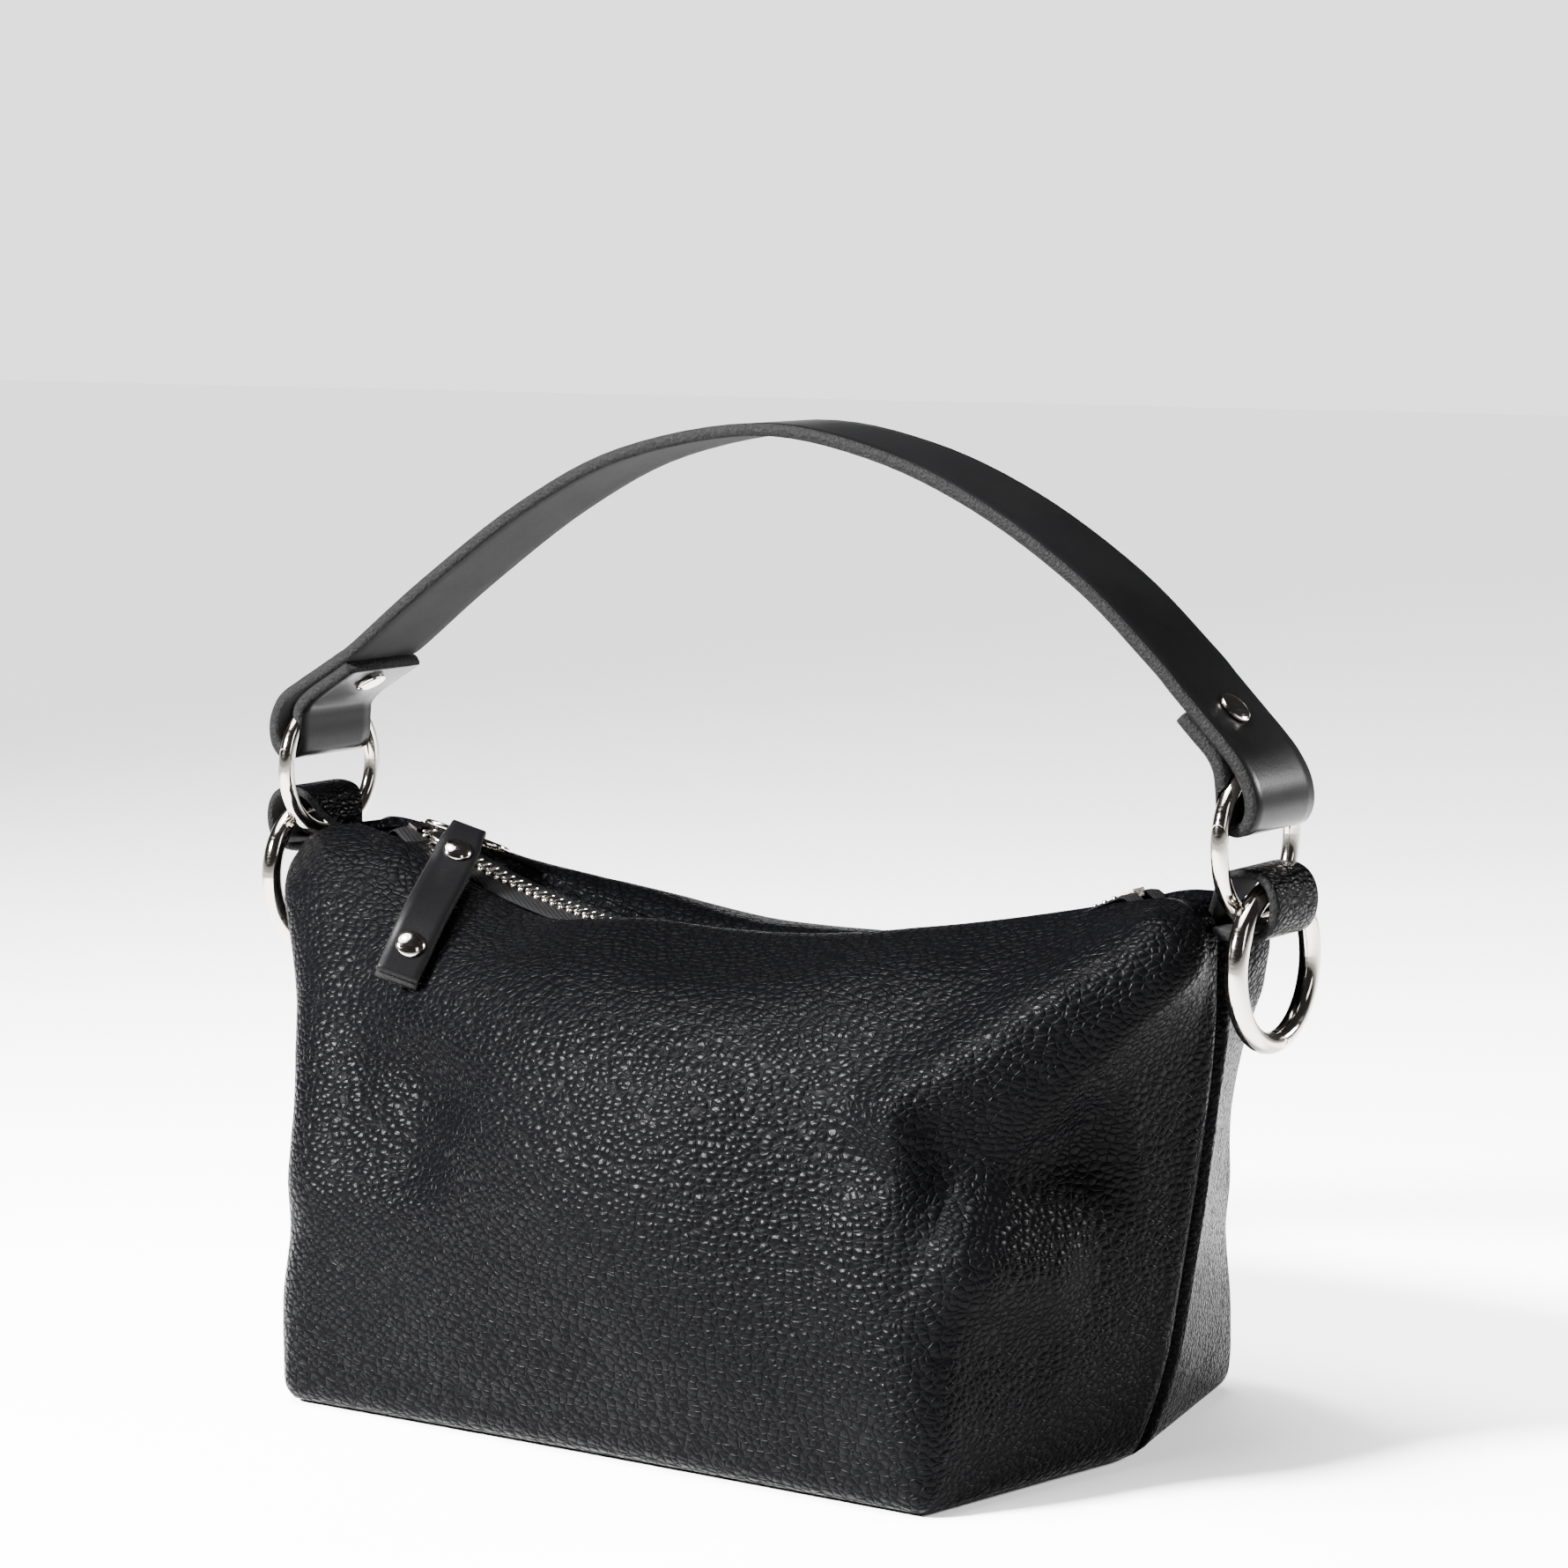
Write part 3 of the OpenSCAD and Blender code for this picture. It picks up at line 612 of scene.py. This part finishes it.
# the base is a leather sheet whose rim meets the two panels' lower edges; its rings shrink towards the middle
rim = np.concatenate([FRONT[0], BACK[0][::-1]])
base_rings = [rim * np.array([share, share, 0]) + np.array([0, 0, z])
              for share, z in ((1.0, 0.35), (0.99, 0.1), (0.96, 0.0), (0.7, 0.0), (0.35, 0.0), (0.02, 0.0))]
base_faces = grid_faces(len(base_rings), len(rim), wrap_cols=True)
base_faces.append(tuple(range((len(base_rings) - 1) * len(rim), len(base_rings) * len(rim)))[::-1])
base = make_mesh("base_leather", np.concatenate(base_rings), base_faces, [LEATHER])
outward(base)
thicken(base, PANEL_T, 1)
place(base, "bag", ["base_panel"])


# ---------------------------------------------------------------- zip

def tape(name, side):
    """A tape along the chain: a cord that the teeth clamp, then flat cloth; its ends narrow and dive"""
    xs = np.linspace(-TAPE_END, TAPE_END, 240)
    cord = 2.45
    profile = [(cord, 0.42), (2.7, 0.46), (4.2, 0.34), (7.5, 0.3), (10.4, 0.0), (10.4, -0.35), (7.5, -0.3),
               (4.2, -0.34), (2.7, -0.46), (cord, -0.42)]
    points = []
    for x in xs:
        curl = -4.5 * float(smoothstep(104.6, TAPE_END, abs(x)))
        narrow = 1 - 0.3 * float(smoothstep(98, 106, abs(x)))
        points += [on_zip(x, side * (cord + (y - cord) * narrow), h + curl) for y, h in profile]
    count = len(profile)
    faces = grid_faces(len(xs), count, wrap_cols=True)
    faces += [tuple(range(count)), tuple(range((len(xs) - 1) * count, len(xs) * count))[::-1]]
    obj = make_mesh(name, points, faces, [TAPE])
    outward(obj)
    return obj


place(tape("zip_tape_front_cloth", -1), "bag", ["zip_tape_front"])
place(tape("zip_tape_back_cloth", 1), "bag", ["zip_tape_back"])


def tooth_shape():
    """One tooth: a clamp round the tape's cord and a nose with a rounded knob"""
    bm = bmesh.new()
    outline = [(-0.8, 0.32), (-0.35, 0.56), (0.6, 0.44), (1.5, 0.5), (2.9, 0.6), (3.3, 0.42)]
    heights = [0.6, 1.0, 0.9, 1.1, 1.3, 1.0]
    loops = []
    for (y, t), h in zip(outline, heights):
        loop = []
        for k in range(8):
            a = math.pi / 4 * k + math.pi / 8
            c, s = math.cos(a), math.sin(a)
            wide = t * math.copysign(abs(c) ** 0.5, c) + 0.22 * y
            loop.append(bm.verts.new((wide, y, h * math.copysign(abs(s) ** 0.5, s))))
        loops.append(loop)
    for a, b in zip(loops, loops[1:]):
        for k in range(8):
            bm.faces.new((a[k], a[(k + 1) % 8], b[(k + 1) % 8], b[k]))
    bm.faces.new(loops[0][::-1])
    bm.faces.new(loops[-1])
    bmesh.ops.recalc_face_normals(bm, faces=bm.faces)
    bm.verts.index_update()
    points = np.array([v.co for v in bm.verts])
    faces = [[v.index for v in f.verts] for f in bm.faces]
    bm.free()
    return points, faces


TOOTH_POINTS, TOOTH_FACES = tooth_shape()


def teeth(name, side):
    """One row of teeth; the two rows are half a pitch apart"""
    points, faces = [], []
    x = -CHAIN + PITCH * (0.3 if side > 0 else 0.8)
    while x < CHAIN - 1:
        centre, along, up = zip_frame(x)
        first = len(points) * len(TOOTH_POINTS)
        points.append(centre + TOOTH_POINTS @ np.array([along, [0, side, 0], up]))
        faces += [[i + first for i in (f if side > 0 else f[::-1])] for f in TOOTH_FACES]
        x += PITCH
    return make_mesh(name, np.concatenate(points), faces, [TOOTH])


place(teeth("zip_teeth_front_metal", -1), "bag", ["zip_teeth_front"])
place(teeth("zip_teeth_back_metal", 1), "bag", ["zip_teeth_back"])


def zip_cap(name, side):
    """Leather that closes the top past one end of the zip, between the two panels' edges"""
    edge = FRONT[-TURN_ROWS - 1]
    edge = edge[np.argsort(edge[:, 0])]
    xs = np.linspace(102, HALF_TOP - 2.5, 22) * side
    half = np.interp(xs, edge[:, 0], np.abs(edge[:, 1]))
    high = np.interp(xs, edge[:, 0], edge[:, 2])
    across = np.linspace(-1, 1, 15)
    rows = []
    for x, h, z in zip(xs, half, high):
        sag = 1.8 * (1 - across ** 2) * smoothstep(0, 8, h)
        rows.append(np.stack([np.full(len(across), x), across * (h + 0.5), z - 2.6 - sag], axis=1))
    obj = make_mesh(name, np.concatenate(rows), grid_faces(len(rows), len(across)), [LEATHER])
    outward(obj)
    thicken(obj, CAP_T)
    return obj


place(zip_cap("zip_end_leather_left", -1), "bag", ["zip_end_left"])
place(zip_cap("zip_end_leather_right", 1), "bag", ["zip_end_right"])


# ---------------------------------------------------------------- strips of leather

def strip(name, path, width, thick, materials, bevel=0.55, widths=None, sections=11):
    """A strip of thick leather swept along a path in 3-D; path rows are (point, across, up). The face on the up
    side takes material 0, the other side 1 and the edges 2."""
    half_t = thick / 2
    outline = [("top", s, half_t) for s in np.linspace(-1, 1, sections)]
    outline += [("edge", 1.0, f * half_t) for f in (0.5, 0.0, -0.5)]
    outline += [("under", s, -half_t) for s in np.linspace(1, -1, sections)]
    outline += [("edge", -1.0, f * half_t) for f in (-0.5, 0.0, 0.5)]
    count = len(outline)
    if widths is None:
        widths = [width] * len(path)
    points = []
    for (p, across, up), wide in zip(path, widths):
        for kind, s, h in outline:
            x = s * (wide / 2 - (0 if kind == "edge" else bevel))
            points.append(p + across * x + up * h)
    sides = {("top", "top"): 0, ("under", "under"): 1}
    kinds = [sides.get((outline[j][0], outline[(j + 1) % count][0]), 2) for j in range(count)] * (len(path) - 1)
    faces = grid_faces(len(path), count, wrap_cols=True)
    faces += [tuple(range(count))[::-1], tuple(range((len(path) - 1) * count, len(path) * count))]
    obj = make_mesh(name, points, faces, materials, face_slots=kinds + [2, 2])
    outward(obj)
    return obj


def flat_path(points_xz, up_sign=1):
    """Rows for strip() from a path in the XZ plane; across is Y"""
    p = np.asarray(points_xz, float)
    tangent = unit(np.gradient(p, axis=0))
    return [(np.array([x, 0, z]), np.array([0, 1, 0]), np.array([-t[1], 0, t[0]]) * up_sign)
            for (x, z), t in zip(p, tangent)]


STRAP_T = 3.0
STRAP_TOP = float(box_mm("strap")[1][2]) - STRAP_T / 2
STRAP_W = float(box_mm("strap")[1][1]) * 2
UPPER_R, UPPER_WIRE = 17.0, 2.0    # middle radius of an upper ring, and its wire's
WIRE_ROOM = 0.35                   # room round the wire where it runs through leather
# Middle line of the strap: its left flap and fold, the arch, its right fold and flap
STRAP_LINE = [
    [-114.6, 172.8], [-119.7, 169.7], [-124, 167.2], [-128, 164.6], [-130.9, 161.6], [-131.5, 158],
    [-131.8, 153.6], [-132.8, 150.9], [-135, 149.9], [-137.2, 150.6], [-139, 153.5], [-138.9, 158.5],
    [-136, 163.6], [-130, 167.5], [-125.7, 170], [-121.4, 172.5], [-117, 175.1], [-112, 178.3],
    [-90, 194.8], [-60, 214.6], [-30, 228.4], [8, STRAP_TOP - 0.2], [40, 230.6], [69, 219.5], [96, 203],
    [115, 186.6], [121, 180.6], [125, 176.6], [129, 172.6], [133, 168.6], [136.7, 164.4],
    [139.6, 159.3], [140.4, 154.5], [139.2, 151], [136.9, 149.9], [134.7, 150.9], [133.4, 154.2],
    [133, 158.5], [132.3, 163], [130.3, 166.7], [126.7, 170.3], [122.7, 174.3]]
strap = strip("strap_leather", flat_path(catmull(STRAP_LINE, 6)), STRAP_W, STRAP_T, [STRAP_OUT, STRAP_IN, EDGE],
              sections=9)


def torus(name, x, z, radius, wire, turns=96, sides=24):
    """A ring round the line through x and z that runs along X"""
    points = []
    for a in np.linspace(0, 2 * math.pi, turns, endpoint=False):
        for b in np.linspace(0, 2 * math.pi, sides, endpoint=False):
            r = radius + wire * math.cos(b)
            points.append([x + wire * math.sin(b), r * math.cos(a), z + r * math.sin(a)])
    faces = [tuple(i % len(points) for i in f) for f in grid_faces(turns + 1, sides, wrap_cols=True)]
    obj = make_mesh(name, points, faces, [EDGE])
    outward(obj)
    return obj


def groove(obj, side):
    """Takes the run of an upper ring's wire out of the folded strap"""
    boxes = [box_mm(f"upper_{part}_{side}") for part in ("ring", "gate")]
    low, high = np.min([b[0] for b in boxes], 0), np.max([b[1] for b in boxes], 0)
    x, _, z = (low + high) / 2
    cutter = torus(f"groove_{side}", x, z, UPPER_R, UPPER_WIRE + WIRE_ROOM)
    cut = obj.modifiers.new("groove", "BOOLEAN")
    cut.operation = "DIFFERENCE"
    cut.solver = "EXACT"
    cut.object = cutter
    graph = bpy.context.evaluated_depsgraph_get()
    graph.update()
    mesh = bpy.data.meshes.new_from_object(obj.evaluated_get(graph))
    obj.modifiers.remove(cut)
    obj.data = mesh
    bpy.data.objects.remove(cutter)


for side in ("left", "right"):
    groove(strap, side)
place(strap, "handle", ["strap"])


# ---------------------------------------------------------------- tabs that hold the rings

TAB_T = 2.0
TAB_TIP_W = 4.0    # width of the ends that vanish into the bag's corner


def tab(name, side, node):
    """A band of leather folded round the two rings, its two ends sewn into the top corner of the bag"""
    low, high = box_mm(node)
    root, end = sorted((abs(low[0]), abs(high[0])))
    width = high[1] - low[1]
    z0, z1 = low[2] + TAB_T / 2 + 0.1, high[2] - TAB_T / 2 - 0.1
    right = end - TAB_T / 2 - 0.05
    line = [[root - 8, 124.8], [root - 3, 128.4], [root + 1.0, 133.4], [root + 4.8, z1 - 1.1], [right - 6, z1],
            [right - 2, z1 - 1.5], [right, z1 - 5], [right, z0 + 5], [right - 1.8, z0 + 1.5], [right - 5.5, z0],
            [root + 6, z0], [root + 2, z0 + 0.3], [root - 2.5, z0 - 0.4], [root - 8, z0 - 2.6]]
    p = catmull(line, 6)
    widths = TAB_TIP_W + (width - TAB_TIP_W) * smoothstep(root - 5, root + 5, p[:, 0])
    return strip(name, flat_path(p * np.array([side, 1]), side), width, TAB_T, [TAB_LEATHER, STRAP_IN, EDGE],
                 bevel=0.5, widths=widths, sections=9)


place(tab("tab_leather_left", -1, "tab_left"), "bag", ["tab_left"])
place(tab("tab_leather_right", 1, "tab_right"), "bag", ["tab_right"])


# ---------------------------------------------------------------- slider

PLATE_LOW, PLATE_HIGH = 1.38, 2.65    # the slider's plates, from the middle of the chain
AT_SLIDER = zip_frame(SLIDER_X)


def prism(name, outline, low, high, bevel):
    """Flat outline in the slider's plane, given thickness and rounded edges"""
    centre, along, up = AT_SLIDER
    count = len(outline)
    points = [centre + along * x + np.array([0, y, 0]) + up * h for h in (low, high) for x, y in outline]
    faces = grid_faces(2, count, wrap_cols=True)
    faces += [tuple(range(count))[::-1], tuple(range(count, 2 * count))]
    obj = make_mesh(name, points, faces, [NICKEL])
    outward(obj)
    rounding = obj.modifiers.new("rounding", "BEVEL")
    rounding.width = bevel * MM
    rounding.segments = 4
    rounding.limit_method = "ANGLE"
    rounding.angle_limit = math.radians(40)
    return obj


def bridge():
    """Arched strip over the slider that the pull ring hangs in"""
    centre, along, up = AT_SLIDER
    line = catmull([[-3.5, 2.3], [-3.55, 3.8], [-3.1, 5.5], [-1.7, 6.5], [0, 6.75], [1.7, 6.5], [3.1, 5.5],
                    [3.55, 3.8], [3.5, 2.3]], 5)
    across = np.array([0, 1, 0])
    rows = [(centre + across * y + up * h, along, across * -t[1] + up * t[0])
            for (y, h), t in zip(line, unit(np.gradient(line, axis=0)))]
    return strip("slider_bridge", rows, 2.5, 1.25, [NICKEL] * 3, bevel=0.35, sections=5)


half_plate = [(-6.0, 0.0), (-5.9, 2.2), (-5.4, 3.6), (-4.2, 4.35), (-2.0, 4.5), (1.0, 4.2), (3.6, 3.75), (5.2, 3.2),
              (5.9, 2.0), (6.0, 0.0)]
plate = half_plate + [(x, -y) for x, y in half_plate[-2:0:-1]]
place(prism("slider_top", plate, PLATE_LOW, PLATE_HIGH, 0.5), "slider", ["zip_slider"])
place(prism("slider_bottom", plate, -PLATE_HIGH, -PLATE_LOW, 0.4), "slider")
# the plates' edges turn in beside the chain
half_flange = [(-5.0, 3.85), (-3.6, 4.2), (0.8, 4.1), (3.6, 3.85), (3.5, 3.62), (0.8, 3.8), (-3.6, 3.8)]
for side, face in ((-1, "front"), (1, "back")):
    flange = [(x, side * y) for x, y in half_flange]
    for part, low, high in (("upper", 0.85, 1.5), ("lower", -1.5, -0.85)):
        place(prism(f"slider_flange_{part}_{face}", flange, low, high, 0.15), "slider")
place(bridge(), "slider")


# ---------------------------------------------------------------- zip pull

PULL_LEN, PULL_WIDE, PULL_T = 58.0, 10.8, 1.5
PULL_BEND = 64.0           # radius that the CAD pull is bent to
PULL_DROP = -4.0           # slope of the pull against the slider, in degrees
RING_R = 4.7               # half the length of the pull ring
RING_TURN = 28.0           # how far the ring is turned and raised in the bridge, in degrees
RING_RISE = 24.0
RING_SHIFT, RING_Z = 3.0, 4.65
DRAPE_CAP = 10.5           # the most that the soft pull may sink
DRAPE_GAP = 0.7            # left between pull and leather
CAP_RISE = 0.15            # foot of a rivet's cap over the leather


def turn(axis, degrees):
    return Matrix.Rotation(math.radians(degrees), 4, axis)


AT_PULL = (Matrix.Translation((0, 0, ZIP_C)) @ turn("Y", -math.degrees(math.asin(SLIDER_X / ZIP_R)))
           @ Matrix.Translation((0, 0, -ZIP_R + RING_Z)) @ turn("Z", RING_TURN) @ turn("X", -RING_RISE)
           @ Matrix.Translation((RING_SHIFT, -2 * RING_R, 0)) @ turn("X", PULL_DROP + RING_RISE))


def on_pull(s, across, h):
    """Point of the CAD pull at distance s from its eye and height h over its middle"""
    local = Matrix.Translation((0, 0, -PULL_BEND)) @ turn("X", math.degrees(s / PULL_BEND))
    return np.array(AT_PULL @ (local @ Vector((across, 0, PULL_BEND + h))))


front_skin = BVHTree.FromPolygons([Vector(p) for p in FRONT.reshape(-1, 3)], grid_faces(len(FRONT), FRONT.shape[1]))


def pull_drape():
    """How far the soft pull sinks towards the leather under it, along its length"""
    places = np.linspace(0, PULL_LEN, 59)
    gaps = []
    for s in places:
        up = on_pull(s, 0, 1) - on_pull(s, 0, 0)
        room = 12.0
        for across in (-5, 0, 5):
            hit = front_skin.ray_cast(Vector(on_pull(s, across, -PULL_T - 0.2)), Vector(-up), 20)
            if hit[0] is not None:
                room = min(room, hit[3])
        gaps.append(max(room - DRAPE_GAP, 0))
    gaps = np.array(gaps)
    near = np.array([gaps[max(0, k - 4):k + 5].min() for k in range(len(gaps))])
    padded = np.pad(near, 6, mode="edge")
    soft = np.convolve(padded, np.hanning(13) / np.hanning(13).sum(), mode="valid")
    return places, np.minimum(soft, DRAPE_CAP) * smoothstep(1, 18, places)


DRAPE_S, DRAPE = pull_drape()


def draped(s, across, h):
    """Point of the sunk pull"""
    p, up = on_pull(s, across, h), on_pull(s, 0, 1) - on_pull(s, 0, 0)
    return p - up * float(np.interp(s, DRAPE_S, DRAPE))


def pull_frame(s, h=0):
    """Point of the sunk pull at distance s and height h, and the directions across, along and up there"""
    origin = draped(s, 0, h)
    across = draped(s, 1, h) - origin
    along = unit(draped(s + 0.5, 0, h) - draped(s - 0.5, 0, h))
    up = np.cross(across, along)
    if up @ (on_pull(s, 0, 1) - on_pull(s, 0, 0)) < 0:
        up = -up
    return origin, across, along, up


def pull_strip():
    """The pull: one strip folded through the ring, its two layers lying on each other"""
    mid = PULL_T / 2 + 0.16
    eye = PULL_T / 2 + 1.12
    line = [[PULL_LEN - 0.3, mid], [PULL_LEN - 8, mid]]
    line += [[s, mid] for s in range(44, 4, -4)] + [[3.6, 1.1]]
    line += [[eye * math.cos(math.radians(a)), eye * math.sin(math.radians(a))] for a in range(60, 301, 24)]
    line += [[3.6, -1.1]] + [[s, -mid] for s in range(8, 47, 4)]
    line += [[PULL_LEN - 8, -mid], [PULL_LEN + 0.5, -mid - 0.1]]
    p = catmull(line, 4)
    rows, widths = [], []
    for (s, h), t in zip(p, unit(np.gradient(p, axis=0))):
        origin, across, along, up = pull_frame(s, h)
        rows.append((origin, across, up * -t[0] + along * t[1]))
        widths.append(PULL_WIDE - 1.8 * (1 - float(smoothstep(1, 8, s))))
    return strip("pull_leather", rows, PULL_WIDE, PULL_T, [STRAP_OUT, STRAP_IN, EDGE], bevel=0.35, widths=widths,
                 sections=7)


place(pull_strip(), "pull", ["pull_tab"])


def dome_rivet(name, s, node):
    """Domed cap on each face, turned from one profile; the cap on the under side is flatter"""
    profile = [(0, 1.42), (0.9, 1.38), (1.8, 1.22), (2.6, 0.95), (3.2, 0.6), (3.5, 0.3), (3.55, 0.05), (3.3, -0.12)]
    centre, across, along, up = pull_frame(s)
    points, faces, count = [], [], 48
    for face, share in ((1, 1), (-1, 0.4)):
        first = len(points)
        for r, h in profile:
            base_at = centre + up * face * (PULL_T + CAP_RISE + h * share)
            for k in range(count if r else 1):
                a = 2 * math.pi * k / count
                points.append(base_at + r * (math.cos(a) * across + math.sin(a) * along))
        faces += [(first, first + 1 + k, first + 1 + (k + 1) % count) for k in range(count)]
        faces += [tuple(first + 1 + i for i in f) for f in grid_faces(len(profile) - 1, count, wrap_cols=True)]
    obj = make_mesh(name, points, faces, [NICKEL])
    outward(obj)
    place(obj, "pull", [node])


dome_rivet("pull_cap_upper", 9.0, "pull_rivet_upper")
dome_rivet("pull_cap_lower", PULL_LEN - 9, "pull_rivet_lower")


# ---------------------------------------------------------------- stage, light and camera

FLOOR_HALF, FLOOR_Z = 6000, -0.05    # the floor lies just under the base, in mm


def stand(data, place_m, ahead):
    """Puts a light or the camera into the scene, looking along ahead"""
    obj = bpy.data.objects.new(data.name, data)
    bpy.context.scene.collection.objects.link(obj)
    obj.location = place_m
    obj.rotation_mode = "QUATERNION"
    obj.rotation_quaternion = Vector(ahead).to_track_quat("-Z", "Y")
    return obj


def area(name, place_m, target, size, power, spread=180):
    """Area light: places and size in metres, power in watts, spread in degrees"""
    data = bpy.data.lights.new(name, "AREA")
    data.shape = "RECTANGLE"
    data.size, data.size_y = size
    data.energy = power
    data.spread = math.radians(spread)
    stand(data, place_m, Vector(target) - Vector(place_m))


def sky_step(value, start, end, at_start, at_end):
    """Smooth step in the world's nodes"""
    node = sky.nodes.new("ShaderNodeMapRange")
    node.interpolation_type = "SMOOTHSTEP"
    for socket, number in (("From Min", start), ("From Max", end), ("To Min", at_start), ("To Max", at_end)):
        node.inputs[socket].default_value = number
    sky.links.new(value, node.inputs["Value"])
    return node.outputs["Result"]


floor = make_mesh("floor", [[x * FLOOR_HALF, y * FLOOR_HALF, FLOOR_Z] for x, y in ((-1, -1), (1, -1), (1, 1), (-1, 1))],
                  [(0, 1, 2, 3)], [])
floor_look = Nodes("floor")
tone = floor_look.noise(floor_look.coords(), 3, 2.0)
floor.data.materials.append(floor_look.set(
    Base_Color=floor_look.mix(tone, (0.86, 0.86, 0.87), (0.9, 0.9, 0.9)), Roughness=0.75, Specular_IOR_Level=0.2))
floor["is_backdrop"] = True

world = bpy.data.worlds.new("studio")
bpy.context.scene.world = world
world.use_nodes = True
sky = world.node_tree
background = sky.nodes["Background"]
background.inputs["Color"].default_value = (1, 1, 1, 1)
direction = sky.nodes.new("ShaderNodeTexCoord").outputs["Generated"]
split = sky.nodes.new("ShaderNodeSeparateXYZ")
sky.links.new(direction, split.inputs[0])
# the backdrop is bright low down behind the bag, and dim overhead and away from the photographed view
away = sky.nodes.new("ShaderNodeVectorMath")
away.operation = "DOT_PRODUCT"
away.inputs[1].default_value = (-0.559, 0.829, 0)
sky.links.new(direction, away.inputs[0])
strength = sky.nodes.new("ShaderNodeMath")
strength.operation = "MULTIPLY"
sky.links.new(sky_step(split.outputs["Z"], 0.05, 0.16, 2.22, 0.12), strength.inputs[0])
sky.links.new(sky_step(away.outputs["Value"], 0.82, 0.955, 0.4, 1.0), strength.inputs[1])
sky.links.new(strength.outputs["Value"], background.inputs["Strength"])

overhead = bpy.data.lights.new("overhead", "SUN")
overhead.energy = 7.6
overhead.angle = math.radians(50)
stand(overhead, (0, 0, 0), (0.22, 0.2, -1))
# a narrow spread keeps the lamps off the floor in front of the bag, which the leather mirrors
area("key", (-0.75, -1.35, 1.05), (0, 0, 0.08), (0.34, 0.28), 92, 70)
area("top", (-0.22, -0.3, 1.35), (0.06, -0.02, 0.1), (0.34, 0.3), 9, 70)
area("side", (1.7, -0.35, 0.8), (0.05, 0, 0.1), (0.3, 0.7), 5)
area("back", (1.2, 1.3, 0.7), (0, 0, 0.08), (0.4, 0.34), 13, 70)

lens = bpy.data.cameras.new("camera")
lens.lens = 102.6
lens.sensor_width = 36
lens.clip_end = 50
YAW, PITCH_DOWN = 0.5933, 0.1196
ahead = (-math.sin(YAW) * math.cos(PITCH_DOWN), math.cos(YAW) * math.cos(PITCH_DOWN), -math.sin(PITCH_DOWN))
bpy.context.scene.camera = stand(lens, (0.59907, -0.8769, 0.2774), ahead)

# ---------------------------------------------------------------- finishes on the CAD's own pieces

METAL = ("upper_", "lower_", "strap_rivet", "pull_ring", "pull_rivet", "zip_slider", "zip_top", "zip_bottom")
finishes = {name: NICKEL for name in NODES if name.startswith(METAL)}
finishes.update(end_seam_left=LEATHER, end_seam_right=LEATHER, base_board=BOARD, pull_tab=STRAP_OUT)
for name, look in finishes.items():
    NODES[name].data.materials.clear()
    NODES[name].data.materials.append(look)

low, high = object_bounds()
